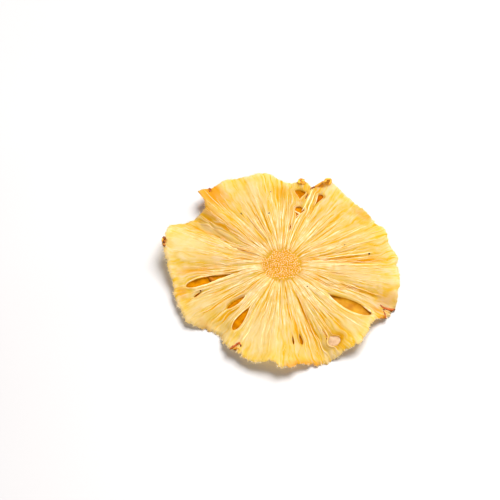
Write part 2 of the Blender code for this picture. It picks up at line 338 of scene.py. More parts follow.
FURROWS: tuple[Furrow, ...] = records(
    Furrow,
    (((163, 8), (160.9, 10.5), (155.4, 18.5), (150.5, 26), (146, 31)), 0.6, 0.8),
    (((157, 24), (151, 33), (148, 38)), 0.5, 0.35),
    (((152.5, 12), (150.5, 18), (148.2, 25.3), (141.9, 35.1)), 0.65, 0.65),
    (((163.5, 24.5), (162.8, 34)), 0.5, 0.35), (((134.5, 8.5), (132, 30)), 0.5, 0.35),
    (((138, 13), (136.5, 24)), 0.35, 0.25), (((105, 10), (115.5, 27)), 0.45, 0.3),
    (((112.5, 8.5), (113.6, 22)), 0.4, 0.3), (((122, 20), (123.8, 29)), 0.4, 0.4),
    (((271, 12), (275.8, 17), (277, 23.5)), 0.4, 0.3),
    (((283, 7.5), (290.4, 16), (291, 22), (293.5, 33)), 0.6, 0.45),
    (((299, 13.5), (302.2, 21.6), (302.5, 28)), 0.5, 0.35), (((287, 22.5), (294, 33)), 0.5, 0.3),
    (((331, 10.5), (333, 15), (338.5, 22.7), (341.2, 30), (339.5, 36.5)), 0.52, 0.65),
    (((321.5, 10), (322.4, 19.6)), 0.5, 0.35),
    (((31, 8), (22, 14.7), (18.9, 18.8), (16, 27.5)), 0.5, 0.38),
    (((8, 9), (7, 17), (6.4, 22), (4, 29), (5, 34), (3.4, 39)), 0.48, 0.65),
    (((11.5, 12), (9.8, 22), (10, 30)), 0.32, 0.5), (((2.8, 30), (2, 39)), 0.4, 0.3),
    (((15, 30), (10.6, 38)), 0.5, 0.3), (((233, 7.5), (221, 14.2), (216, 21)), 0.45, 0.3),
    (((196, 9), (193.5, 16)), 0.4, 0.3), (((174, 9), (177.5, 20)), 0.4, 0.28),
    (((351, 9), (350.5, 22), (353, 33)), 0.35, 0.22), (((61, 8), (63, 20), (64, 28)), 0.4, 0.3),
    (((46, 12), (44, 30)), 0.35, 0.22), (((86, 8), (84, 18), (85.5, 30)), 0.45, 0.32),
    (((251, 10), (252, 24)), 0.32, 0.2), (((262, 14), (263.5, 30)), 0.3, 0.18),
    (((206, 21), (205, 36)), 0.35, 0.22),
)

BRIDGES: tuple[Bridge, ...] = records(
    Bridge,
    (1, 25.9, 24.7, 0.85, True), (9, 29.3, 29, 0.24, False), (7, 33.2, 34.2, 0.09, False),
    (10, 22.9, 23.8, 0.26, False), (10, 24.6, 21.6, 0.12, False),
)

LIP_RIDGES: tuple[LipRidge, ...] = records(
    LipRidge,
    (0, Lip.CLOCKWISE, 18.6, 35.4, 0.3), (1, Lip.ANTICLOCKWISE, 15, 34.4, 0.34),
    (1, Lip.CLOCKWISE, 20, 34, 0.2), (3, Lip.ANTICLOCKWISE, 17, 25, 0.2),
    (4, Lip.CLOCKWISE, 20, 30.4, 0.22), (8, Lip.ANTICLOCKWISE, 27.5, 32.8, 0.18),
    (9, Lip.CLOCKWISE, 28.4, 32.6, 0.14),
)

TENDONS: tuple[Tendon, ...] = records(
    Tendon,
    (331.2, 30.5, 326.9, 39.2, 0.42, 0.25), (71.5, 24, 69.5, 34.5, 0.36, 0.1),
    (66.8, 22, 67.6, 33.5, 0.26, 0.1), (157.6, 11, 153, 30, 0.24, 0.1), (10.2, 12, 9, 34, 0.22, 0.06),
    (359.5, 12, 0.6, 36, 0.22, 0.06), (246.3, 27, 245.4, 36.6, 0.24, 0.08),
    (300.5, 10, 303.5, 22, 0.18, 0.08), (318, 10.5, 320, 23, 0.22, 0.08),
    (127, 14, 128.5, 30, 0.22, 0.08),
)

FILMS: tuple[Film, ...] = records(
    Film,
    (0, 1, Skin.AMBER), (1, 0.8, Skin.GOLDEN), (2, 0.8, Skin.DEEP_SHADOW), (3, 0.6, Skin.GOLDEN),
    (4, 0.85, Skin.GOLDEN), (5, 0.9, Skin.GOLDEN), (6, 0.9, Skin.GOLDEN), (7, 0.28, Skin.PALE),
    (8, 0.7, Skin.DEEP_SHADOW), (9, 0.6, Skin.GOLDEN), (10, 0.65, Skin.GOLDEN), (11, 0.8, Skin.GOLDEN),
)

CRUSTS: tuple[Crust, ...] = records(
    Crust,
    (169.4, 42.3, 0.75, 0.7, 0.75), (171.2, 42.1, 0.7, 0.6, 0.6), (172.6, 41.8, 0.5, 0.5, 0.5),
    (79.2, 35.6, 0.26, 0.6, 0.45, 15), (64.2, 39.2, 0.6, 0.22, 0.4), (70.5, 34.7, 0.35, 0.3, 0.4),
    (69.7, 35.2, 0.5, 0.32, 0.4), (73.9, 30.2, 0.16, 0.55, 0.3), (128.7, 41.6, 0.35, 0.55, 0.4, 20),
    (335.9, 38.2, 0.3, 0.4, 0.35), (337.3, 42, 0.45, 0.4, 0.4), (334.3, 38.9, 0.44, 0.42, 0.38),
    (242.2, 36.9, 0.42, 0.5, 0.34), (246, 35.4, 0.3, 0.44, 0.3), (199.3, 30.2, 0.34, 0.3, 0.3),
    (297.9, 32.4, 0.26, 0.36, 0.28),
)

CURLS: tuple[Curl, ...] = records(
    Curl,
    (
        ((74.9, 35), (76.3, 34.6), (78.4, 34.9), (79, 35.9), (77.8, 36.5), (75.8, 36.3)),
        0.42, 0.55, 0.35, False,
    ),
    (((75.4, 35.5), (77.8, 35.7)), 0.75, 0.8, 0, False),
    (((62, 37), (62.2, 38.5), (63.4, 39.1), (64.9, 38.6), (65.6, 37.7)), 0.5, 0.6, 0.3, False),
    (((64.6, 38), (66.6, 37.1), (68.4, 36), (70.4, 34.8)), 0.62, 0.46, 0.1, False),
    (((67.6, 36.6), (69.3, 35.6), (70.8, 34.5), (71.3, 33.6)), 0.1, 0.2, 0.25, True),
    (((336.4, 36.9), (335.7, 38.8), (336.2, 40.6), (337.4, 42)), 0.38, 0.58, 0.15, True),
    (((333.2, 38.8), (332, 39.5), (330.1, 40.3), (328.3, 41.2)), 0.16, 0.3, 0.1, True),
    (((335.4, 38.2), (333.8, 39.6), (334.6, 41)), 0.14, 0.22, 0.1, False),
    (((297.5, 28.4), (297.8, 30.4), (297.9, 32.4)), 0.07, 0.12, 0.05, True),
    (((241.6, 38.2), (242.6, 36.4), (243.6, 34.9), (244.6, 34.5), (246.4, 35.7)), 0.4, 0.36, 0.15, True),
    (((242.6, 37.4), (244.4, 36.6), (246.2, 36.9)), 0.34, 0.22, 0, False),
    (((128.2, 41.8), (129.2, 40.9), (130.8, 40.2)), 0.3, 0.14, 0.15, True),
    (((130.2, 41.6), (131.6, 40.4)), 0.24, 0.12, 0.1, False),
    (((168.6, 42), (169.8, 42.7), (171.6, 42.4), (173, 41.6)), 0.35, 0.25, 0.15, False),
    (((74.6, 31.8), (73.6, 30.4), (73, 29.2)), 0.18, 0.16, 0.05, True),
)

SPECKS: tuple[Crust, ...] = records(
    Crust,
    (101.5, 22.1, 0.34, 0.3, 0.26, 30), (123.3, 26.3, 0.28, 0.6, 0.26), (8.7, 31.3, 0.4, 0.3, 0.28),
    (19.2, 23.7, 0.28, 0.3, 0.24), (312.4, 12.7, 0.26, 0.32, 0.22), (97, 31, 0.18, 0.26, 0.18),
)


def smooth(t: float) -> float:
    """Eases from 0 to 1 as t does, and holds beyond."""
    t = min(max(t, 0.0), 1.0)
    return t * t * (3.0 - 2.0 * t)


def turn(angle: float, middle: float) -> float:
    """The shorter way round from middle to angle, in degrees."""
    return (angle - middle + 180.0) % 360.0 - 180.0


def polar(angle: float, radius: float, height: float = 0.0) -> Point:
    """The point at an angle in degrees, a distance from the core's middle and a height."""
    turned = math.radians(angle)
    return radius * math.cos(turned), radius * math.sin(turned), height


def noise_at(x: float, y: float, z: float) -> float:
    """Smooth noise of about -0.7 to 0.7 at a place."""
    return noise.noise(Vector((x, y, z)))


def round_noise(angle: float, cells: float, depth: float) -> float:
    """Smooth noise that closes round the slice, with cells per radian and a third coordinate."""
    return noise_at(*polar(angle, cells, depth))


class Layer(NamedTuple):
    """A layer of noise over the slice, which changes over a length outward and closes round it."""

    strength: float
    cells: float
    length: float
    depth: float

    def at(self, angle: float, radius: float = 0.0, shift: float = 0.0) -> float:
        """Its value at a place."""
        return self.strength * round_noise(angle, self.cells, radius / self.length + self.depth + shift)


def shares(steps: int) -> list[float]:
    """Even shares of a length, from 0 to 1."""
    return [step / steps for step in range(steps + 1)]


def between(start: float, end: float, share: float) -> float:
    """The value at a share of the way from start to end."""
    return start + (end - start) * share


def along_slit(slit: Union[Cavity, Crease], radius: float) -> float:
    """How far outward a place lies along a cavity or a fold, as a share of its length."""
    return (radius - slit.inner) / (slit.outer - slit.inner)


def taper(share: float, blunt: float, power: float) -> float:
    """How full a strand is along its length, with ends no thinner than at the blunt share."""
    return math.sin(math.pi * min(max(share, blunt), 1.0 - blunt)) ** power


@dataclass
class LinePattern:
    """Grooves or crests scattered over a face, which meander along the fibres and taper."""

    count: int
    lengths: tuple[float, float]
    half_widths: tuple[float, float]
    seed: int
    innermost: float = 6.0
    outermost: float = 41.0
    reach: int = 3
    bend: float = 1.5
    weakest: float = 0.45

    def __post_init__(self) -> None:
        """Draws the lines, and keeps them by the degrees that they lie near."""
        draw = random.Random(self.seed)
        self.near: dict[int, list[FibreLine]] = {}
        for _ in range(self.count):
            length = draw.uniform(*self.lengths)
            middle = self.outermost * math.sqrt(draw.random())
            line = FibreLine(
                draw.uniform(0.0, 360.0),
                max(middle - 0.5 * length, self.innermost),
                length,
                draw.uniform(-self.bend, self.bend),
                draw.uniform(*self.half_widths),
                draw.uniform(self.weakest, 1.0),
            )
            for degree in range(-self.reach, self.reach + 2):
                self.near.setdefault((int(line.angle) + degree) % 360, []).append(line)

    def share(self, angle: float, radius: float) -> float:
        """How far a place lies in one of the lines.

        Args:
            angle: Where round the slice.
            radius: Where outward.

        Returns:
            From 0 outside them to 1 in the middle of a strong one.
        """
        most = 0.0
        for line in self.near.get(int(angle) % 360, ()):
            along = (radius - line.start) / line.length
            if not 0.0 < along < 1.0:
                continue
            half_width = line.half_width * (4.0 * along * (1.0 - along)) ** 0.4
            middle = line.angle + line.bend * (along - 0.5)
            across = abs(math.radians(turn(angle, middle)) * radius) / half_width
            if across < 1.0:
                most = max(most, line.strength * smooth(1.4 * (1.0 - across)))
        return most


LONG_GROOVES = LinePattern(250, (6.0, 16.0), (0.26, 0.46), 11)
SHORT_GROOVES = LinePattern(620, (2.5, 7.0), (0.20, 0.34), 12)
# Crest lines: their lighter tone is pale fibre and partly a painted highlight.
CRESTS = LinePattern(760, (1.5, 5.0), (0.18, 0.34), 13)
GROOVES_BELOW = LinePattern(420, (5.0, 16.0), (0.24, 0.46), 14)
RIM_FRAY = Layer(0.6, 9.0, 1.0, 0.5)
FINE_RIM_FRAYS = records(Layer, (0.45, 26.0, 1.0, 2.5), (0.32, 70.0, 1.0, 4.5))
NEAR_RIM_FRAYS = records(Layer, (0.55, 38.0, 1.0, 7.5), (0.40, 110.0, 1.0, 8.5))
BUNDLES = Layer(1.0, 7.5, 25.0, 0.0)
MEANDERS = records(Layer, (1.5, 3.0, 13.0, 0.0), (0.9, 8.0, 5.5, 3.0))
CRINKLES = Layer(1.0, 12.0, 3.4, 7.0)
PILLOWS = Layer(1.0, 5.0, 11.0, 17.0)
WRINKLES = Layer(1.0, 10.0, 2.4, 23.0)
WEAR = Layer(2.0, 2.2, 1.0, 31.0)
CORE_EDGE = records(Layer, (1.7, 8.0, 1.0, 50.4), (1.2, 2.5, 1.0, 60.3))
STAIN_AND_SHADE_EDGE = Layer(0.35, 14.0, 5.0, 11.0)
HEIGHT_RELIEF = Relief(0.0, 0.26, 0.16, 0.22, 0.12, 0.10, 0.26)
# In the tone, the wrinkles are painted light and shade: lighter and darker with the crinkles toward the rim.
TONE_RELIEF = Relief(0.68, 0.14, 0.14, 0.56, 0.40, 0.26, 0.30)


@dataclass(frozen=True)
class SliceForm:
    """The form of the slice, in mm and degrees, with its core's middle as the origin."""

    core_radius: float = 6.6
    core_thickness: float = 3.0
    core_height: float = 3.4
    core_dish: float = 0.45
    core_hollow: float = 0.18
    core_blur: float = 0.45
    core_margin: float = 0.35
    flesh_thickness: float = 2.1
    rim_thickness: float = 1.5
    edge_thickness: float = 0.5
    edge_rounding: float = 1.1
    collar_height: float = 0.5
    collar_share: float = 0.3
    curl_power: float = 1.9
    least_thickness: float = 0.7
    deepest_furrow: float = 0.4
    blunt_power: float = 0.6
    parting_reach: float = 2.6
    parting_extra: float = 4.0
    clear_of_lip: float = 0.2
    frayed_middle: float = 268.0
    frayed_spread: float = 50.0
    bundle_sharpness: float = 3.2
    bundle_relief: float = 0.16
    underside_relief: float = 0.24
    underside_shift: float = 7.0
    underside_tone: float = 0.66
    relief_share: float = 0.15
    edge_relief: float = 0.45
    groove_share_below: float = 0.7
    crinkles_from: float = 23.0
    crinkle: float = 1.3
    wrinkles_from: float = 13.0
    worn_from: float = 26.0
    mottle_scale: float = 0.45
    bundle_tone: float = 0.04
    # Painted shade: how much the tone darkens per mm of a fold's depth.
    crease_painted_shade: float = 0.05
    crown_tone: float = 0.14
    furrow_tone: float = 0.50
    furrow_depth: float = 0.6
    furrow_sway: float = 0.5
    crease_power: float = 0.7
    crease_fade: float = 0.12

    def dip_at(self, share: float, lowest: float) -> float:
        """A dip from 0 at both ends of an interval to 1 where it is lowest."""
        return math.sin(math.pi * share ** (math.log(0.5) / math.log(lowest))) ** 2

    def rim(self, angle: float) -> tuple[float, float]:
        """The rim at an angle.

        Args:
            angle: Degrees, anticlockwise from the right.

        Returns:
            Its distance from the core's middle and its height above the table.
        """
        first = FRUITLETS[0]
        angle = first.angle + (angle - first.angle) % 360.0
        following = FRUITLETS[1:] + (first._replace(angle=first.angle + 360.0),)
        for here, after in zip(FRUITLETS, following):
            if angle <= after.angle:
                break
        share = (angle - here.angle) / (after.angle - here.angle)
        reach = between(here.reach, after.reach, smooth(share))
        reach -= here.notch * self.dip_at(share, here.notch_at)
        level = between(here.rise, after.rise, smooth(share))
        unsagged = between(here.rise, after.rise, smooth(here.sag_at))
        height = level + (here.sag - unsagged) * self.dip_at(share, here.sag_at)
        reach += RIM_FRAY.at(angle)
        reach += sum(layer.at(angle) for layer in FINE_RIM_FRAYS)
        frayed = smooth(1.6 - abs(turn(angle, self.frayed_middle)) / self.frayed_spread)
        return reach + frayed * sum(layer.at(angle) for layer in NEAR_RIM_FRAYS), height

    def drop_width(self, cavity: Cavity, radius: float) -> float:
        """The drop shape of a cavity.

        Args:
            cavity: The cavity.
            radius: Distance from the core's middle.

        Returns:
            Half its width there, and 0 beyond its ends.
        """
        share = along_slit(cavity, radius)
        if not 0.0 < share < 1.0:
            return 0.0
        sharp_power = self.blunt_power * cavity.widest / (1.0 - cavity.widest)
        peak = cavity.widest**sharp_power * (1.0 - cavity.widest) ** self.blunt_power
        return 0.5 * cavity.width * (share**sharp_power * (1.0 - share) ** self.blunt_power / peak)

    def part(self, angle: float, radius: float, lip: Lip) -> tuple[float, float]:
        """Where the cavities push a fibre.

        Args:
            angle: The fibre's own angle.
            radius: Distance from the core's middle.
            lip: The side that a fibre in the middle of a cavity goes to.

        Returns:
            Its angle after parting, and its distance from the nearest lip.
        """
        moved = angle
        nearest = self.edge_rounding
        for cavity in CAVITIES:
            away = turn(angle, cavity.angle)
            widest_radius = cavity.inner + cavity.widest * (cavity.outer - cavity.inner)
            widest = math.degrees(0.5 * cavity.width / widest_radius)
            reach = self.parting_reach * widest + self.parting_extra
            if abs(away) >= reach:
                continue
            half = math.degrees(self.drop_width(cavity, radius) / radius)
            fade = (1.0 - abs(away) / reach) ** 2
            drift = cavity.lean * (min(max(along_slit(cavity, radius), 0.0), 1.0) - 0.5)
            way = lip.value if away == 0.0 else math.copysign(1.0, away)
            moved += fade * (drift + way * half)
            across = math.radians(max(abs(away) - half * (1.0 - fade), 0.0)) * radius
            beyond = max(cavity.inner - radius, radius - cavity.outer, 0.0)
            nearest = min(nearest, math.hypot(across, beyond))
        return moved, nearest

    def beside(self, angle: float, start: float, radius: float) -> float:
        """Keeps a fibre on its own side of the cavities.

        Args:
            angle: The angle that it has drifted to.
            start: The angle that it started at.
            radius: Distance from the core's middle.

        Returns:
            The angle, held at the lip where it would cross one.
        """
        for cavity in CAVITIES:
            side = math.copysign(self.clear_of_lip, turn(start, cavity.angle))
            away = turn(angle, cavity.angle)
            near = cavity.inner - 2.0 < radius < cavity.outer + 2.0 and abs(away) < 5.0
            if near and away * side < self.clear_of_lip * self.clear_of_lip:
                return cavity.angle + side
        return angle

    def crease_depth(self, angle: float, radius: float) -> float:
        """How far the folds lower the sheet.

        Args:
            angle: Where round the slice.
            radius: Where outward.

        Returns:
            The depth, negative on a ridge.
        """
        depth = 0.0
        for crease in CREASES:
            along = along_slit(crease, radius)
            if not 0.0 < along < 1.0:
                continue
            across = abs(turn(angle, crease.angle + crease.lean * (along - 0.5)) / crease.spread)
            if across < 1.0:
                depth += crease.depth * smooth(1.0 - across) * math.sin(math.pi * along) ** self.crease_power
        return depth

    def swelling(self, angle: float, radius: float) -> float:
        """How much the browned spots thicken the upper face.

        Args:
            angle: Where round the slice.
            radius: Where outward.

        Returns:
            The height that they add.
        """
        total = 0.0
        for scab in SCABS:
            across = math.radians(turn(angle, scab.angle)) * scab.radius
            share = math.hypot(across, radius - scab.radius) / scab.size
            if share < 1.0:
                total += scab.swelling * (1.0 - share * share) ** 2
        return total

    def bundles(self, angle: float, radius: float, face: Face) -> float:
        """Broad ridges of fibre, from about -1 to 1."""
        return 1.0 - self.bundle_sharpness * abs(BUNDLES.at(angle, radius, self.underside_shift * face.value))

    def furrows(self, angle: float, radius: float) -> tuple[float, float]:
        """The single deep grooves.

        Args:
            angle: The place's angle on the slice, after parting.
            radius: Distance from the core's middle.

        Returns:
            Their depth at the place, and how far it lies in one, from 0 to 1.
        """
        depth = 0.0
        share = 0.0
        for furrow in FURROWS:
            first, last = furrow.course[0][1], furrow.course[-1][1]
            if not first < radius < last:
                continue
            legs = zip(furrow.course, furrow.course[1:])
            near, far = next((a, b) for a, b in legs if a[1] <= radius <= b[1])
            along = smooth((radius - near[1]) / (far[1] - near[1]))
            middle = near[0] + turn(far[0], near[0]) * along
            sway = self.furrow_sway * noise_at(radius / 2.7, near[0], 3.0)
            across = abs(math.radians(turn(angle, middle)) * radius + sway) / furrow.half_width
            if across >= 1.0:
                continue
            ends = smooth((radius - first) / 2.5) * smooth((last - radius) / 4.0)
            ends *= 0.75 + 0.5 * noise_at(radius / 3.0, near[0], 9.0)
            inside = smooth(1.0 - across) * ends
            depth += self.furrow_depth * furrow.depth * inside
            share = max(share, inside)
        return depth, share

    def warped(self, angle: float, radius: float, face: Face) -> float:
        """How a fibre meanders.

        Args:
            angle: The fibre's own angle.
            radius: Distance from the core's middle.
            face: The face of the sheet.

        Returns:
            The angle at which its pattern is read.
        """
        shift = self.underside_shift * face.value
        for meander in MEANDERS:
            angle += meander.at(angle, radius, shift)
        crinkled = smooth((radius - self.crinkles_from) / 9.0)
        return angle + self.crinkle * crinkled * CRINKLES.at(angle, radius, shift)

    def fibres(self, angle: float, radius: float, face: Face) -> tuple[float, float]:
        """Grooves and crests of the fibres, worn and mottled in places towards the rim.

        Args:
            angle: The fibre's own angle.
            radius: Distance from the core's middle.
            face: The face of the sheet.

        Returns:
            Their height, and a tone from about 0 in a groove to 1 on a crest, whose pale tone is partly a
            painted highlight.
        """
        angle = self.warped(angle, radius, face)
        shift = self.underside_shift * face.value
        outward = smooth((radius - self.wrinkles_from) / 10.0)
        pillow = PILLOWS.at(angle, radius, shift)
        # The wrinkles also lighten and darken the tone, as painted light and shade on their slopes.
        wrinkle = WRINKLES.at(angle, radius, shift)
        if face is Face.LOWER:
            below = 0.30 * pillow + 0.11 * outward * wrinkle - 0.26 * GROOVES_BELOW.share(angle, radius)
            return below, self.underside_tone
        across, along, _ = polar(angle, self.mottle_scale * radius)
        spot = Vector((across, along, 0.5 * across - 0.7 * along + 0.4))
        worn = smooth((radius - self.worn_from) / 9.0) * smooth(0.6 + WEAR.at(angle))
        mottle = worn * (noise.noise(spot) + 0.6 * noise.noise(2.1 * spot))
        # The crests lighten the tone: partly pale fibre, partly a painted highlight.
        long_groove, short_groove, crest_and_highlight = (
            pattern.share(angle, radius) for pattern in (LONG_GROOVES, SHORT_GROOVES, CRESTS)
        )
        kept = 1.0 - 0.50 * worn
        height, tone = (
            relief.plain + relief.pillow * pillow + relief.wrinkle * outward * wrinkle
            - kept * (relief.long_groove * long_groove + relief.short_groove * short_groove)
            + relief.crest_and_highlight * crest_and_highlight + relief.mottle * mottle
            for relief in (HEIGHT_RELIEF, TONE_RELIEF)
        )
        return height, tone + 0.05 * worn

    def heights(self, angle: float, radius: float, parted: tuple[float, float]) -> tuple[float, float, float]:
        """The sheet's two faces at a place.

        Args:
            angle: The fibre's own angle.
            radius: Distance from the core's middle.
            parted: Its angle after parting, and its distance from the nearest cavity.

        Returns:
            The heights of the upper and lower faces and the upper face's tone.
        """
        rim_radius, rim_height = self.rim(angle)
        share = min(max((radius - self.core_radius) / (rim_radius - self.core_radius), 0.0), 1.0)
        collar = self.collar_height * math.sin(math.pi * min(share / self.collar_share, 1.0))
        middle = between(self.core_height, rim_height, share**self.curl_power) + collar
        crease = self.crease_depth(angle, radius) * smooth(0.5 + (1.0 - share) / self.crease_fade)
        middle -= crease
        moved, lip_distance = parted
        inset = min(lip_distance, rim_radius - radius, self.edge_rounding) / self.edge_rounding
        full = between(self.flesh_thickness, self.rim_thickness, smooth(share))
        rounded = math.sqrt(max(1.0 - (1.0 - inset) ** 2, 0.0))
        thickness = between(self.edge_thickness, full, rounded)
        ridged = smooth(share / self.relief_share) * (self.edge_relief + (1.0 - self.edge_relief) * rounded)
        swollen = self.swelling(angle, radius)
        fine, tone = self.fibres(angle, radius, Face.UPPER)
        fine_below, _ = self.fibres(angle, radius, Face.LOWER)
        bundle = self.bundles(angle, radius, Face.UPPER)
        upper = middle + 0.5 * thickness + swollen + ridged * (self.bundle_relief * bundle + fine)
        lower = middle - 0.5 * thickness - 0.5 * swollen
        bundle_below = self.underside_relief * self.bundles(angle, radius, Face.LOWER)
        lower += ridged * (bundle_below - self.groove_share_below * fine_below)
        lower = max(lower, 0.0)
        furrow, in_furrow = self.furrows(moved, radius)
        upper = max(upper, lower + self.least_thickness * thickness)
        upper -= ridged * min(furrow, self.deepest_furrow * thickness)
        crown = 1.0 - smooth((radius - 7.0) / 9.0)
        # Painted shade: the tone darkens in the fold valleys, by their depth.
        tone += self.bundle_tone * bundle - self.crease_painted_shade * max(crease, 0.0) - self.crown_tone * crown
        return upper, lower, tone - self.furrow_tone * in_furrow

    def spot(self, angle: float, radius: float, lip: Lip = Lip.ANTICLOCKWISE) -> tuple[float, float, float]:
        """A fibre's angle after parting, and the heights of the upper and lower faces under it."""
        parted = self.part(angle, radius, lip)
        return (parted[0], *self.heights(angle, radius, parted)[:2])

    def core_edge(self, angle: float) -> float:
        """Where the stippled core ends, which is ragged."""
        return sum((layer.at(angle) for layer in CORE_EDGE), self.core_radius - self.core_margin)

    def core_share(self, angle: float, radius: float) -> float:
        """How far a place belongs to the core, from 0 to 1."""
        return 1.0 - smooth((radius - self.core_edge(angle)) / self.core_blur + 0.5)

    def core_faces(self, share: float) -> tuple[float, float]:
        """The core's two faces.

        Args:
            share: The place as a share of the core's radius.

        Returns:
            The heights of the upper and lower face.
        """
        sunk = 1.0 - share * share
        half = 0.5 * between(self.core_thickness, self.flesh_thickness, share**4)
        upper = self.core_height + half - self.core_dish * sunk
        return upper, self.core_height - half + self.core_hollow * sunk

    def stain_and_shade(self, tint: Tint, angle: float, radius: float) -> float:
        """How strongly a patch of one tint covers the flesh; gold patches are partly painted shade.

        Args:
            tint: What the stain does.
            angle: Where round the slice.
            radius: Where outward.

        Returns:
            From 0 to 1, with ragged edges.
        """
        total = 0.0
        ragged = STAIN_AND_SHADE_EDGE.at(angle, radius)
        for stain_and_shade in STAINS_AND_SHADE[tint]:
            across = turn(angle, stain_and_shade.angle) / stain_and_shade.half_angle
            along = (radius - stain_and_shade.radius) / stain_and_shade.half_radius
            away = math.hypot(across, along)
            if away < 1.4:
                total = max(total, stain_and_shade.strength * smooth((1.0 - away + ragged) * 1.3))
        return total


@dataclass
class MeshSketch:
    """Points, faces and attributes of a mesh to be, in mm from the core's middle."""

    points: list[Point] = field(default_factory=list)
    faces: list[tuple[int, ...]] = field(default_factory=list)
    edges: list[tuple[int, int]] = field(default_factory=list)
    floats: dict[str, list[float]] = field(default_factory=dict)
    vectors: dict[str, list[Point]] = field(default_factory=dict)

    def add(self, point: Point, **values: float) -> int:
        """Adds a point.

        Args:
            point: Its place.
            **values: One value for each float attribute.

        Returns:
            Its number.
        """
        self.points.append(point)
        for name, value in values.items():
            self.floats.setdefault(name, []).append(value)
        return len(self.points) - 1

    def lay(self, line: Line) -> None:
        """Adds a strand's line of points, each with its girth."""
        numbers = [self.add(point, girth=girth * MM) for point, girth in line]
        self.edges += zip(numbers, numbers[1:])

    def face_pair(self, *corners: Sequence[int]) -> None:
        """A face between the upper points of its corners, and the same one between the lower points."""
        self.faces.append(tuple(corner[0] for corner in corners))
        self.faces.append(tuple(corner[1] for corner in reversed(corners)))

    def mesh_object(self, name: str, material: Optional[bpy.types.Material] = None) -> bpy.types.Object:
        """Makes the mesh and its object.

        Args:
            name: The piece's name.
            material: The finish of every face, or None.

        Returns:
            The object, linked to the scene.
        """
        mesh = bpy.data.meshes.new(name)
        origin = CORE_ORIGIN
        placed = [(x * MM + origin.x, y * MM + origin.y, z * MM + origin.z) for x, y, z in self.points]
        mesh.from_pydata(placed, self.edges, self.faces)
        for attribute, values in self.floats.items():
            mesh.attributes.new(attribute, "FLOAT", "POINT").data.foreach_set("value", values)
        for attribute, values in self.vectors.items():
            layer = mesh.attributes.new(attribute, "FLOAT_VECTOR", "POINT")
            layer.data.foreach_set("vector", [part for value in values for part in value])
        mesh.shade_smooth()
        if material is not None:
            mesh.materials.append(material)
        made = bpy.data.objects.new(name, mesh)
        bpy.context.scene.collection.objects.link(made)
        return made


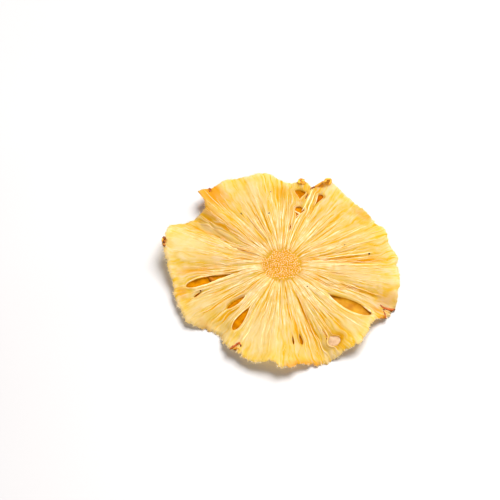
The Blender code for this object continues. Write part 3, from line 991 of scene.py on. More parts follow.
@dataclass
class Shading:
    """A material's node tree, with short ways to add nodes to it."""

    material: bpy.types.Material

    @classmethod
    def named(cls, name: str) -> "Shading":
        """Starts a material with a Principled shader."""
        material = bpy.data.materials.new(name)
        material.use_nodes = True
        return cls(material)

    @property
    def shader(self) -> bpy.types.Node:
        """The Principled shader."""
        return self.material.node_tree.nodes["Principled BSDF"]

    def node(self, kind: str, **settings: object) -> bpy.types.Node:
        """Adds a node.

        Args:
            kind: Its kind.
            **settings: Its properties.

        Returns:
            The node.
        """
        made = self.material.node_tree.nodes.new(kind)
        for name, value in settings.items():
            setattr(made, name, value)
        return made

    def feed(self, target: Socket, value: Value) -> None:
        """Links a node's input, or sets its own value.

        Args:
            target: The input.
            value: Another node's output, a number or a colour.
        """
        if isinstance(value, Socket):
            self.material.node_tree.links.new(value, target)
        else:
            target.default_value = (*value, 1.0) if target.type == "RGBA" else value

    def attribute(self, name: str, output: str = "Fac") -> Socket:
        """Reads one of the piece's attributes."""
        return self.node("ShaderNodeAttribute", attribute_name=name).outputs[output]

    def place(self) -> Socket:
        """The place on the piece, in metres."""
        return self.node("ShaderNodeTexCoord").outputs["Object"]

    def maths(self, operation: str, first: Value, second: Value, clamp: bool = False) -> Socket:
        """A sum of two values.

        Args:
            operation: The Math node's operation.
            first: A socket or a number.
            second: A socket or a number.
            clamp: True to hold the result between 0 and 1.

        Returns:
            The result's socket.
        """
        made = self.node("ShaderNodeMath", operation=operation, use_clamp=clamp)
        self.feed(made.inputs[0], first)
        self.feed(made.inputs[1], second)
        return made.outputs[0]

    def beyond(self, value: Value, level: float, gain: float, clamp: bool = False) -> Socket:
        """How far a value lies beyond a level, times a gain."""
        return self.maths("MULTIPLY", self.maths("SUBTRACT", value, level), gain, clamp)

    def ramp(self, factor: Socket, places: Sequence[float], colours: Sequence[Colour]) -> Socket:
        """A colour ramp.

        Args:
            factor: Where along the ramp.
            places: The places of its stops, in order.
            colours: Their linear colours.

        Returns:
            The colour's socket.
        """
        made = self.node("ShaderNodeValToRGB")
        elements = made.color_ramp.elements
        while len(elements) < len(places):
            elements.new(1.0)
        for element, place, colour in zip(elements, places, colours):
            element.position = place
            element.color = (*colour, 1.0)
        self.feed(made.inputs["Fac"], factor)
        return made.outputs["Color"]

    def blend(self, factor: Value, under: Value, over: Value) -> Socket:
        """One colour over another.

        Args:
            factor: How much of the second shows.
            under: A colour or its socket.
            over: A colour or its socket.

        Returns:
            The colour's socket.
        """
        made = self.node("ShaderNodeMix", data_type="RGBA")
        self.feed(made.inputs["Factor"], factor)
        colours = [socket for socket in made.inputs if socket.type == "RGBA"]
        self.feed(colours[0], under)
        self.feed(colours[1], over)
        return next(socket for socket in made.outputs if socket.type == "RGBA")

    def grain(self, vector: Socket, cells: Point, detail: float, harshness: float = 0.55) -> Socket:
        """Noise on a stretched vector.

        Args:
            vector: The coordinates.
            cells: Noise cells along each of their axes.
            detail: The noise's octaves.
            harshness: How strong its finer octaves are.

        Returns:
            The noise's socket, about 0 to 1.
        """
        stretched = self.node("ShaderNodeMapping")
        self.feed(stretched.inputs["Scale"], cells)
        self.feed(stretched.inputs["Vector"], vector)
        made = self.node("ShaderNodeTexNoise")
        self.feed(made.inputs["Vector"], stretched.outputs["Vector"])
        for name, value in (("Scale", 1.0), ("Detail", detail), ("Roughness", harshness)):
            self.feed(made.inputs[name], value)
        return made.outputs["Fac"]

    def surface(self, colour: Socket, roughness: float, gloss: float) -> None:
        """Gives the shader its colour, its roughness and, as its specular level, its gloss."""
        for name, value in (("Base Color", colour), ("Roughness", roughness), ("Specular IOR Level", gloss)):
            self.feed(self.shader.inputs[name], value)

    def bump(self, height: Socket, distance: float) -> None:
        """Gives the shader fine relief.

        Args:
            height: The relief's height, from 0 to 1.
            distance: Its depth, in metres.
        """
        made = self.node("ShaderNodeBump")
        self.feed(made.inputs["Distance"], distance)
        self.feed(made.inputs["Height"], height)
        self.feed(self.shader.inputs["Normal"], made.outputs["Normal"])

    def let_through(self, colour: Socket, share: float) -> None:
        """Lets light pass, so that the piece glows and tints its shadow.

        Args:
            colour: The tint of the light.
            share: How much of it passes.
        """
        thin = self.node("ShaderNodeBsdfTranslucent")
        self.feed(thin.inputs["Color"], colour)
        both = self.node("ShaderNodeMixShader")
        for target, value in zip(both.inputs, (share, self.shader.outputs[0], thin.outputs[0])):
            self.feed(target, value)
        self.feed(self.material.node_tree.nodes["Material Output"].inputs["Surface"], both.outputs[0])


@dataclass(frozen=True)
class FleshFinish:
    """Translucent dried flesh: golden grooves, cream fibres, a peach core and browned spots."""

    groove: Colour = (0.87, 0.46, 0.004)
    low: Colour = (0.86, 0.55, 0.014)
    middle: Colour = (0.84, 0.665, 0.105)
    high: Colour = (0.865, 0.735, 0.285)
    # Palest tone, reached on the crests: cream fibre, and partly a painted highlight.
    crest_and_highlight: Colour = (0.90, 0.820, 0.550)
    tones: tuple[float, ...] = (0.06, 0.30, 0.52, 0.72, 0.96)
    # Colour of the gold patches: the flesh's own gold, and painted shade where they lie on slopes, dips and
    # hollows.
    gold: Colour = (0.84, 0.41, 0.005)
    pale: Colour = (0.89, 0.775, 0.450)
    core: Colour = (0.85, 0.485, 0.034)
    brown: Colour = (0.44, 0.14, 0.010)
    burnt: Colour = (0.08, 0.02, 0.004)
    glow: Colour = (0.95, 0.69, 0.05)
    streak_cells: Point = (44.0, 44.0, 5.0)
    thread_cells: Point = (130.0, 130.0, 16.0)
    patch_cells: Point = (170.0, 170.0, 170.0)
    streaks_in_tone: float = 0.74
    patches_in_tone: float = 0.30
    streaks_in_brown: float = 0.9
    threads_in_relief: float = 0.6
    relief_depth: float = 0.00018
    palest: float = 0.64
    most_golden: float = 0.94
    see_through: float = 0.72
    roughness: float = 0.50
    gloss: float = 0.22

    def material(self) -> bpy.types.Material:
        """Builds the material, which reads the flesh's attributes.

        Returns:
            The material.
        """
        made = Shading.named("dried_flesh_looks")
        fibre = made.attribute("fibre", "Vector")
        streaks = made.grain(fibre, self.streak_cells, 4.0, 0.62)
        threads = made.grain(fibre, self.thread_cells, 2.0)
        patches = made.grain(made.place(), self.patch_cells, 3.0)
        tone = made.maths("ADD", made.attribute("tone"), made.beyond(streaks, 0.5, self.streaks_in_tone))
        tone = made.maths("ADD", tone, made.beyond(patches, 0.5, self.patches_in_tone))
        colour = made.ramp(tone, self.tones, (self.groove, self.low, self.middle, self.high, self.crest_and_highlight))
        pale = made.maths("MULTIPLY", made.attribute(Tint.PALE.value), self.palest)
        colour = made.blend(pale, colour, self.pale)
        golden_light = made.maths("SUBTRACT", 0.55, made.maths("MULTIPLY", pale, 0.7))
        # Gold patches, partly painted shade.
        gold = made.maths("MULTIPLY", made.attribute(Tint.GOLD_AND_SHADE.value), self.most_golden)
        colour = made.blend(gold, colour, self.gold)
        colour = made.blend(made.attribute("core"), colour, self.core)
        brown = made.attribute(Tint.BROWN.value)
        uneven = made.maths("ADD", brown, made.beyond(streaks, 0.5, self.streaks_in_brown))
        browned = made.beyond(uneven, 0.20, 2.0, clamp=True)
        browned = made.maths("MULTIPLY", browned, made.maths("MULTIPLY", brown, 3.0, clamp=True))
        colour = made.blend(browned, colour, self.brown)
        colour = made.blend(made.beyond(uneven, 0.80, 4.0, clamp=True), colour, self.burnt)
        made.surface(colour, self.roughness, self.gloss)
        relief = made.maths("ADD", streaks, made.maths("MULTIPLY", threads, self.threads_in_relief))
        made.bump(relief, self.relief_depth)
        made.let_through(made.blend(golden_light, colour, self.glow), self.see_through)
        return made.material


@dataclass(frozen=True)
class FibreFinish:
    """A single dried fibre, skin or bundle end, whose colour drifts between two."""

    name: str
    colours: tuple[Colour, ...]
    glow: Colour = (1.0, 0.70, 0.22)
    cells: float = 420.0
    see_through: float = 0.3
    gloss: float = 0.25
    places: tuple[float, ...] = (0.34, 0.62)
    detail: float = 2.0
    harshness: float = 0.55
    relief_cells: float = 2600.0
    relief_detail: float = 2.0
    relief_depth: float = 0.00004
    roughness: float = 0.45

    def material(self) -> bpy.types.Material:
        """Builds the material.

        Returns:
            The material.
        """
        made = Shading.named(self.name)
        place = made.place()
        drift = made.grain(place, (self.cells,) * 3, self.detail, self.harshness)
        colour = made.ramp(drift, self.places, self.colours)
        made.surface(colour, self.roughness, self.gloss)
        if self.relief_depth:
            made.bump(made.grain(place, (self.relief_cells,) * 3, self.relief_detail), self.relief_depth)
        if self.see_through:
            made.let_through(made.blend(0.5, colour, self.glow), self.see_through)
        return made.material


@dataclass(frozen=True)
class ScabFinish(FibreFinish):
    """Browned, shrivelled flesh, mottled from its lighter edge to its darkest spots."""

    cells: float = 800.0
    see_through: float = 0.0
    gloss: float = 0.2
    places: tuple[float, ...] = (0.36, 0.50, 0.66)
    detail: float = 4.0
    harshness: float = 0.65
    relief_cells: float = 1800.0
    relief_detail: float = 3.0
    relief_depth: float = 0.0001


@dataclass(frozen=True)
class TableFinish(FibreFinish):
    """A plain pale table with a faint unevenness."""

    name: str = "pale_table"
    colours: tuple[Colour, ...] = ((0.415, 0.405, 0.410), (0.430, 0.420, 0.425))
    cells: float = 6.0
    see_through: float = 0.0
    gloss: float = 0.5
    places: tuple[float, ...] = (0.35, 0.65)
    relief_depth: float = 0.0
    roughness: float = 0.55


@dataclass
class FleshNet:
    """The fine sheet of flesh: columns along the fibres, rows round the core, and its edges."""

    form: SliceForm
    columns: int = 864
    rows: int = 50
    core_rings: tuple[tuple[float, int], ...] = (
        (0.94, 432), (0.86, 216), (0.76, 216), (0.65, 216), (0.53, 108),
        (0.41, 108), (0.29, 54), (0.17, 27), (0.07, 9),
    )
    bulge: float = 0.22
    shifted_columns: float = 9.0
    shifted_rows: float = 3.0
    collar_width: float = 2.2
    collar_gold: float = 0.32
    core_tone: float = 0.45
    sketch: MeshSketch = field(default_factory=MeshSketch)

    def __post_init__(self) -> None:
        """Finds which rows each cavity opens."""
        self.step = 360.0 / self.columns
        self.rims = [self.form.rim(column * self.step)[0] for column in range(self.columns)]
        self.made: dict[tuple[int, int, Lip], Place] = {}
        self.slits: dict[int, tuple[Cavity, int, int]] = {}
        core = self.form.core_radius
        for cavity in CAVITIES:
            column = round(cavity.angle / self.step) % self.columns
            spacing = self.even_row(column, 1) - core
            last = min(round((cavity.outer - core) / spacing), self.rows - 2)
            self.slits[column] = (cavity, round((cavity.inner - core) / spacing), last)

    def even_row(self, column: int, row: int) -> float:
        """The radius of an evenly spaced row."""
        core = self.form.core_radius
        return core + (self.rims[column] - core) * row / self.rows

    def row_radius(self, column: int, row: int) -> float:
        """The radius of a row, shifted near a cavity so that one lands on each of its ends.

        Args:
            column: The column.
            row: The row.

        Returns:
            The radius.
        """
        radius = self.even_row(column, row)
        for own, (cavity, first, last) in self.slits.items():
            away = abs((column - own + self.columns // 2) % self.columns - self.columns // 2)
            if away >= self.shifted_columns:
                continue
            to_inner = cavity.inner - self.even_row(own, first)
            to_outer = cavity.outer - self.even_row(own, last)
            along = min(max((row - first) / (last - first), 0.0), 1.0)
            beyond = max(first - row, row - last, 0) / self.shifted_rows
            fade = smooth(1.0 - away / self.shifted_columns) * max(1.0 - beyond, 0.0)
            radius += fade * between(to_inner, to_outer, along)
        return radius

    def place(self, column: int, row: int, lip: Lip) -> Place:
        """The points of the flesh at a column and row.

        Args:
            column: The column, from 0.
            row: The row, 0 at the core and the last at the rim.
            lip: The side, where the column is split by a cavity.

        Returns:
            The numbers of the upper, lower and edge points. The edge's is -1 away from edges.
        """
        column %= self.columns
        cavity, first, last = self.slits.get(column, (None, 0, 0))
        split = first < row < last
        lip = lip if split else Lip.NONE
        if (column, row, lip) in self.made:
            return self.made[column, row, lip]
        angle = column * self.step
        radius = self.row_radius(column, row)
        parted = self.form.part(cavity.angle if cavity else angle, radius, lip)
        upper, lower, tone = self.form.heights(angle, radius, parted)
        x, y, _ = polar(parted[0], radius)
        values = self.values(angle, radius, tone)
        top = self.add((x, y, upper), angle, radius, values)
        if split:
            # Painted shade: the cavity's walls and the underside at its lips turn gold and darker.
            values["gold"] = max(values["gold"], cavity.gold)
            values["tone"] -= 0.2 * cavity.gold
        elif row == self.rows:
            values["pale"] = 1.0
        low = self.add((x, y, lower), angle, radius, values)
        edge = -1
        if split or row == self.rows:
            out_x, out_y, _ = polar(parted[0], 1.0)
            if split:
                out_x, out_y = out_y * lip.value, -out_x * lip.value
            bulge = self.bulge * min(1.0, upper - lower)
            middle = (x + bulge * out_x, y + bulge * out_y, 0.5 * (upper + lower))
            edge = self.add(middle, angle, radius, values)
        self.made[column, row, lip] = (top, low, edge)
        return top, low, edge

    def values(self, angle: float, radius: float, tone: float) -> dict[str, float]:
        """The attributes of the flesh.

        Args:
            angle: Where round the slice.
            radius: Where outward.
            tone: Its tone from grooves and crests.

        Returns:
            A value for each attribute's name.
        """
        collar = smooth((radius - self.form.core_radius) / self.collar_width)
        # Lighter tone within 1.6 mm of the rim: pale dry fibre, and partly a painted highlight along the
        # edge.
        edge = smooth(1.0 - (self.form.rim(angle)[0] - radius) / 1.6)
        values = {"tone": tone + 0.15 * edge, "core": self.form.core_share(angle, radius)}
        values.update({tint.value: self.form.stain_and_shade(tint, angle, radius) for tint in Tint})
        values["gold"] = max(values["gold"], self.collar_gold * (1.0 - collar))
        return values

    def add(self, point: Point, angle: float, radius: float, values: dict[str, float]) -> int:
        """Adds a point with its values, and where its fibre's pattern is read."""
        fibre = polar(self.form.warped(angle, radius, Face.UPPER), 1.0, radius / 40.0)
        self.sketch.vectors.setdefault("fibre", []).append(fibre)
        return self.sketch.add(point, **values)

    def wall(self, here: Place, after: Place) -> None:
        """Adds the rounded edge between two places, with open air to the right of the way between them.

        Args:
            here: The points of the first place.
            after: The points of the next.
        """
        (top, low, edge), (next_top, next_low, next_edge) = here, after
        upper = tuple(number for number in (top, edge, next_edge, next_top) if number >= 0)
        if len(upper) > 2:
            self.sketch.faces.append(upper)
        start, end = (top if edge < 0 else edge), (next_top if next_edge < 0 else next_edge)
        self.sketch.faces.append((start, low, next_low, end))

    def add_flesh(self) -> None:
        """Fills both faces of the sheet and closes its rim."""
        for column in range(self.columns):
            for row in range(self.rows):
                self.sketch.face_pair(
                    self.place(column, row, Lip.ANTICLOCKWISE),
                    self.place(column, row + 1, Lip.ANTICLOCKWISE),
                    self.place(column + 1, row + 1, Lip.CLOCKWISE),
                    self.place(column + 1, row, Lip.CLOCKWISE),
                )
            near = self.place(column, self.rows, Lip.ANTICLOCKWISE)
            self.wall(near, self.place(column + 1, self.rows, Lip.CLOCKWISE))

    def add_cavities(self) -> None:
        """Closes the walls of the cavities."""
        for column, (_, first, last) in self.slits.items():
            for row in range(first, last):
                self.wall(self.place(column, row + 1, Lip.CLOCKWISE), self.place(column, row, Lip.CLOCKWISE))
                near = self.place(column, row, Lip.ANTICLOCKWISE)
                self.wall(near, self.place(column, row + 1, Lip.ANTICLOCKWISE))

    def join_rings(self, outer: Sequence[Sequence[int]], inner: Sequence[Sequence[int]]) -> None:
        """Fills between two rings of the core.

        Args:
            outer: The outer ring's places.
            inner: The inner ring's, as many or a whole number of times fewer.
        """
        times = len(outer) // len(inner)
        for number, here in enumerate(inner):
            after = inner[(number + 1) % len(inner)]
            along = [outer[(number * times + step) % len(outer)] for step in range(times + 1)]
            for step in range(times):
                self.sketch.face_pair(here if step < times // 2 else after, along[step], along[step + 1])
            self.sketch.face_pair(here, along[times // 2], after)

    def core_place(self, share: float, angle: float) -> tuple[int, int]:
        """Two points of the core.

        Args:
            share: Their place as a share of its radius.
            angle: Their angle.

        Returns:
            The numbers of the upper and lower point.
        """
        radius = share * self.form.core_radius
        x, y, _ = polar(angle, radius)
        upper, lower = self.form.core_faces(share)
        calm = smooth((1.0 - share) / 0.1)
        upper += 0.10 * calm * (noise_at(x * 1.7, y * 1.7, 3.0) + 0.6 * noise_at(x * 3.7, y * 3.7, 9.0))
        lower += 0.12 * calm * noise_at(x * 1.7, y * 1.7, 6.0)
        values = {"tone": self.core_tone, "core": self.form.core_share(angle, radius)}
        values.update({tint.value: 0.0 for tint in Tint})
        return tuple(self.add((x, y, z), angle, radius, values) for z in (upper, lower))

    def add_core(self) -> None:
        """Fills the core with rings that get coarser towards its middle."""
        outer: Sequence[Sequence[int]] = [self.place(column, 0, Lip.NONE) for column in range(self.columns)]
        for share, count in self.core_rings:
            inner = [self.core_place(share, 360.0 * number / count) for number in range(count)]
            self.join_rings(outer, inner)
            outer = inner
        centre = self.core_place(0.0, 0.0)
        for number, here in enumerate(outer):
            self.sketch.face_pair(centre, here, outer[(number + 1) % len(outer)])

    def build(self, finish: FleshFinish) -> bpy.types.Object:
        """Makes the piece.

        Args:
            finish: Its finish.

        Returns:
            The sheet's object.
        """
        self.add_flesh()
        self.add_cavities()
        self.add_core()
        return self.sketch.mesh_object("dried_flesh_sheet", finish.material())


class PieceTree:
    """A Geometry Nodes tree with named inputs, which turns a sketched object into a plain mesh."""

    def __init__(self, name: str, **inputs: str) -> None:
        """Starts the tree.

        Args:
            name: The tree's name.
            **inputs: Each input's name, and its kind of socket.
        """
        self.tree = bpy.data.node_groups.new(name, "GeometryNodeTree")
        sockets = self.tree.interface
        sockets.new_socket("Geometry", in_out="INPUT", socket_type="NodeSocketGeometry")
        self.inputs = {
            label: sockets.new_socket(label, in_out="INPUT", socket_type="NodeSocket" + kind).identifier
            for label, kind in inputs.items()
        }
        sockets.new_socket("Geometry", in_out="OUTPUT", socket_type="NodeSocketGeometry")
        self.given = self.node("NodeGroupInput")

    def node(self, kind: str, inputs: Optional[dict] = None, **settings: object) -> bpy.types.NodeOutputs:
        """Adds a node.

        Args:
            kind: Its kind.
            inputs: A socket or a value for each input's name or number.
            **settings: Its properties.

        Returns:
            Its outputs.
        """
        made = self.tree.nodes.new(kind)
        for name, value in settings.items():
            setattr(made, name, value)
        for name, value in (inputs or {}).items():
            if isinstance(value, Socket):
                self.tree.links.new(value, made.inputs[name])
            else:
                made.inputs[name].default_value = value
        return made.outputs

    def end(self, geometry: Socket) -> None:
        """Makes the geometry's instances real, smooths it, gives it the finish and hands it out.

        Args:
            geometry: The geometry's socket.
        """
        real = self.node("GeometryNodeRealizeInstances", {"Geometry": geometry})
        smoothed = self.node("GeometryNodeSetShadeSmooth", {"Geometry": real[0]})
        finish = self.given["Finish"]
        dressed = self.node("GeometryNodeSetMaterial", {"Geometry": smoothed[0], "Material": finish})
        self.node("NodeGroupOutput", {"Geometry": dressed[0]})

    def grow(self, piece: bpy.types.Object, **values: object) -> bpy.types.Object:
        """Turns an object's mesh into what the tree makes of it.

        Args:
            piece: The object.
            **values: A value for each of the tree's inputs.

        Returns:
            The same object, with a plain mesh and no modifier.
        """
        modifier = piece.modifiers.new("growth", "NODES")
        modifier.node_group = self.tree
        for label, value in values.items():
            modifier[self.inputs[label]] = value
        bpy.context.view_layer.update()
        evaluated = piece.evaluated_get(bpy.context.evaluated_depsgraph_get())
        mesh = bpy.data.meshes.new_from_object(evaluated)
        sketched = piece.data
        piece.modifiers.clear()
        piece.data = mesh
        mesh.name = piece.name
        bpy.data.meshes.remove(sketched)
        return piece


class StrandTree(PieceTree):
    """Geometry Nodes that turn lines with a girth into tapering fibres."""

    def __init__(self) -> None:
        """Builds the tree."""
        super().__init__("fibre_strands", Sides="Int", Finish="Material")
        lines = self.node("GeometryNodeMeshToCurve", {"Mesh": self.given["Geometry"]})
        girth = self.node("GeometryNodeInputNamedAttribute", {"Name": "girth"}, data_type="FLOAT")
        circle = {"Radius": 1.0, "Resolution": self.given["Sides"]}
        profile = self.node("GeometryNodeCurvePrimitiveCircle", circle)
        swept = {"Curve": lines[0], "Profile Curve": profile[0], "Scale": girth[0], "Fill Caps": True}
        self.end(self.node("GeometryNodeCurveToMesh", swept)["Mesh"])


class TipTree(PieceTree):
    """Geometry Nodes that stand bundle ends close together on a patch of the core."""

    seed = 5
    densest = 2.0e7
    least_size = (0.8, 0.8, 1.1)
    most_size = (1.6, 1.1, 1.9)
    least_tilt = (-0.35, -0.35, 0.0)
    most_tilt = (0.35, 0.35, 2.0 * math.pi)

    def __init__(self) -> None:
        """Builds the tree."""
        super().__init__("core_tips", Spacing="Float", Radius="Float", Finish="Material")
        surface, spacing = self.given["Geometry"], self.given["Spacing"]
        scatter = {"Mesh": surface, "Distance Min": spacing, "Density Max": self.densest, "Seed": self.seed}
        spread = self.node("GeometryNodeDistributePointsOnFaces", scatter, distribute_method="POISSON")
        ball = {"Segments": 7, "Rings": 5, "Radius": self.given["Radius"]}
        tip = self.node("GeometryNodeMeshUVSphere", ball)
        standing = {
            "Points": spread["Points"],
            "Instance": tip["Mesh"],
            "Scale": self.draw(self.least_size, self.most_size, 1),
            "Rotation": self.draw(self.least_tilt, self.most_tilt, 2),
        }
        self.end(self.node("GeometryNodeInstanceOnPoints", standing)["Instances"])

    def draw(self, least: Point, most: Point, number: int) -> Socket:
        """A random vector for each tip between two others, as the draw of this number."""
        limits = {0: least, 1: most, "Seed": self.seed + number}
        return self.node("FunctionNodeRandomValue", limits, data_type="FLOAT_VECTOR")[0]


@dataclass
class CoreTips:
    """Ends of the fibre bundles, which stipple the core."""

    form: SliceForm
    rings: int = 10
    sectors: int = 48
    sunk: float = 0.05
    spacing: float = 0.62
    tip_radius: float = 0.245

    def build(self, finish: FibreFinish) -> bpy.types.Object:
        """Makes the piece.

        Args:
            finish: The tips' finish.

        Returns:
            The tips' object.
        """
        sketch = MeshSketch()
        inner = [sketch.add((0.0, 0.0, self.form.core_faces(0.0)[0] - self.sunk))]
        for ring in range(1, self.rings + 1):
            share = ring / self.rings
            height = self.form.core_faces(0.95 * share)[0] - self.sunk
            outer = []
            for sector in range(self.sectors):
                turned = 2.0 * math.pi * sector / self.sectors
                radius = share * self.form.core_edge(math.degrees(turned))
                outer.append(sketch.add((radius * math.cos(turned), radius * math.sin(turned), height)))
            for sector, here in enumerate(outer):
                after = (sector + 1) % self.sectors
                face = (inner[sector % len(inner)], here, outer[after], inner[after % len(inner)])
                sketch.faces.append(tuple(dict.fromkeys(face)))
            inner = outer
        patch = sketch.mesh_object("core_bundle_ends")
        spacing, radius = self.spacing * MM, self.tip_radius * MM
        return TipTree().grow(patch, Spacing=spacing, Radius=radius, Finish=finish.material())


@dataclass
class Strands:
    """Lines over the slice that become the fibres of a piece."""

    form: SliceForm
    tree: StrandTree

    def piece(self, name: str, lines: Iterable[Line], sides: int, finish: FibreFinish) -> bpy.types.Object:
        """Makes a piece of strands.

        Args:
            name: The piece's name.
            lines: Each strand's points, with their girths.
            sides: How many sides a strand has.
            finish: The strands' finish.

        Returns:
            The piece's object.
        """
        sketch = MeshSketch()
        for line in lines:
            sketch.lay(line)
        return self.tree.grow(sketch.mesh_object(name), Sides=sides, Finish=finish.material())


@dataclass
class LooseFibres(Strands):
    """Single fibres that stand a little proud of the flesh and run along it."""

    count: int = 980
    one_below_in: int = 5
    crown_share: float = 0.18
    crown_outset: float = 0.04
    crown_lengths: tuple[float, float] = (2.0, 6.5)
    lengths: tuple[float, float] = (4.0, 18.0)
    drifts: tuple[float, float] = (-1.6, 1.6)
    girths: tuple[float, float] = (0.05, 0.13)
    lifts: tuple[float, float] = (-0.02, 0.10)
    sway: float = 0.7
    clear_of_table: float = 0.12
    seed: int = 41
    steps: int = 16
    sides: int = 5

    def path(self, draw: random.Random, face: Face) -> Line:
        """One fibre along the flesh.

        Args:
            draw: The random numbers.
            face: The face that it lies on.

        Returns:
            Its points, each with its girth.
        """
        angle = draw.uniform(0.0, 360.0)
        reach = self.form.rim(angle)[0]
        core = self.form.core_radius
        crown = draw.random() < self.crown_share
        outset = self.crown_outset if crown else 0.8 * draw.random() ** 1.4
        start = core - 0.5 + (reach - core) * outset * draw.uniform(0.4, 1.0)
        length = draw.uniform(*(self.crown_lengths if crown else self.lengths))
        end = min(start + length, reach - 0.6)
        drift, girth, lift = (draw.uniform(*span) for span in (self.drifts, self.girths, self.lifts))
        phase = draw.uniform(0.0, 100.0)
        line = []
        for share in shares(self.steps):
            radius = between(start, end, share)
            at = angle + drift * share + self.sway * noise_at(phase, share * 3.0, 0.0)
            moved, upper, lower = self.form.spot(self.form.beside(at, angle, radius), radius)
            full = taper(share, 0.04, 0.5)
            proud = lift * full + 0.4 * girth * full - 0.05 * (1.0 - full)
            height = upper + proud if face is Face.UPPER else lower - proud
            line.append((polar(moved, radius, max(height, self.clear_of_table)), girth * full))
        return line

    def build(self, finish: FibreFinish) -> bpy.types.Object:
        """Makes the piece with its finish."""
        draw = random.Random(self.seed)
        faces = (Face.UPPER if number % self.one_below_in else Face.LOWER for number in range(self.count))
        return self.piece("loose_fibres", (self.path(draw, face) for face in faces), self.sides, finish)


@dataclass
class RimFringe(Strands):
    """Short broken fibres that stick out of the rim."""

    count: int = 1300
    insides: tuple[float, float] = (1.2, 3.0)
    girths: tuple[float, float] = (0.05, 0.11)
    skews: tuple[float, float] = (-1.3, 1.3)
    droops: tuple[float, float] = (-0.35, 0.25)
    levels: tuple[float, float] = (0.15, 0.85)
    thinning: float = 0.85
    clear_of_table: float = 0.1
    seed: int = 7
    steps: int = 7
    sides: int = 5

    def tuft(self, draw: random.Random) -> Line:
        """One broken fibre at the rim.

        Args:
            draw: The random numbers.

        Returns:
            Its points, each with its girth.
        """
        angle = draw.uniform(0.0, 360.0)
        reach, _ = self.form.rim(angle)
        out = 0.15 + 0.9 * draw.random() ** 2.5
        spans = (self.insides, self.girths, self.skews, self.droops, self.levels)
        inside, girth, skew, droop, level = (draw.uniform(*span) for span in spans)
        line = []
        for share in shares(self.steps):
            radius = reach - inside + (inside + out) * share
            moved, upper, lower = self.form.spot(angle + skew * share * share, min(radius, reach - 0.05))
            height = between(lower, upper, level) + droop * share * share
            point = polar(moved, radius, max(height, self.clear_of_table))
            line.append((point, girth * (1.0 - self.thinning * share**3)))
        return line

    def build(self, finish: FibreFinish) -> bpy.types.Object:
        """Makes the piece with its finish."""
        draw = random.Random(self.seed)
        return self.piece("rim_fringe", (self.tuft(draw) for _ in range(self.count)), self.sides, finish)


@dataclass
class CavityStrands(Strands):
    """Strands that stayed whole across the seed cavities."""

    steps: int = 12
    sides: int = 8
    overrun: float = 0.6
    slack: float = 0.25

    def lip_point(self, cavity: Cavity, radius: float, lip: Lip) -> Vector:
        """The middle of a lip's edge at a distance from the core."""
        moved, upper, lower = self.form.spot(cavity.angle, radius, lip)
        return Vector(polar(moved, radius, 0.5 * (upper + lower)))

    def span(self, bridge: Bridge) -> Line:
        """A strand from lip to lip, a little slack in its middle.

        Args:
            bridge: Which cavity it crosses, and where.

        Returns:
            Its points, each with its girth.
        """
        cavity = CAVITIES[bridge.cavity]
        start = self.lip_point(cavity, bridge.start_radius, Lip.CLOCKWISE)
        end = self.lip_point(cavity, bridge.end_radius, Lip.ANTICLOCKWISE)
        overrun = (end - start).normalized() * self.overrun
        start, end = start - overrun, end + overrun
        line = []
        for share in shares(self.steps):
            point = start.lerp(end, share)
            point.z += (self.slack if bridge.browned else 0.0) - bridge.girth
            point.z += self.slack * math.sin(math.pi * share) * noise_at(bridge.girth * 90.0, share, 1.0)
            wobble = 1.0 + 0.5 * noise_at(share * 4.0, bridge.girth * 50.0, 2.0)
            line.append((tuple(point), bridge.girth * wobble))
        return line

    def build(self, browned: bool, finish: FibreFinish) -> bpy.types.Object:
        """Makes the piece of the browned or of the pale strands."""
        lines = (self.span(bridge) for bridge in BRIDGES if bridge.browned is browned)
        name = "browned_cavity_strands" if browned else "pale_cavity_strands"
        return self.piece(name, lines, self.sides, finish)


@dataclass
class RaisedStrands(Strands):
    """Thick pale strands: the raised lips of the cavities, and tendons that lie on the flesh."""

    steps: int = 26
    sides: int = 8

    def lip_line(self, ridge: LipRidge) -> Line:
        """The line of a raised lip.

        Args:
            ridge: Which lip, and where along it.

        Returns:
            Its points, each with its girth.
        """
        cavity = CAVITIES[ridge.cavity]
        line = []
        for share in shares(self.steps):
            radius = between(ridge.start_radius, ridge.end_radius, share)
            moved, _ = self.form.part(cavity.angle, radius, ridge.lip)
            inward = math.degrees(0.45 * ridge.girth / radius) * ridge.lip.value
            upper, _, _ = self.form.heights(cavity.angle, radius, (moved, 0.35))
            uneven = 1.0 + 0.45 * noise_at(radius * 0.8, 3.0 * ridge.cavity, 1.0)
            girth = ridge.girth * taper(share, 0.03, 0.6) * uneven
            line.append((polar(moved + inward, radius, upper - 0.30 * ridge.girth), girth))
        return line

    def tendon_line(self, tendon: Tendon) -> Line:
        """The line of a tendon on the flesh.

        Args:
            tendon: Where it starts and ends.

        Returns:
            Its points, each with its girth.
        """
        line = []
        for share in shares(self.steps):
            radius = between(tendon.start_radius, tendon.end_radius, share)
            sway = 0.9 * noise_at(radius / 4.0, tendon.start_angle, 5.0)
            angle = tendon.start_angle + turn(tendon.end_angle, tendon.start_angle) * share + sway
            reach = min(radius, self.form.rim(angle)[0] - 0.3)
            upper, _, _ = self.form.heights(angle, reach, (angle, self.form.edge_rounding))
            full = taper(share, 0.03, 0.6)
            uneven = 1.0 + 0.4 * noise_at(radius * 0.7, tendon.start_angle, 1.0)
            height = upper + tendon.lift * full - 0.35 * tendon.girth
            line.append((polar(angle, reach, height), tendon.girth * full * uneven))
        return line

    def build(self, finish: FibreFinish) -> bpy.types.Object:
        """Makes the piece with its finish."""
        lines = [*map(self.lip_line, LIP_RIDGES), *map(self.tendon_line, TENDONS)]
        return self.piece("raised_strands", lines, self.sides, finish)


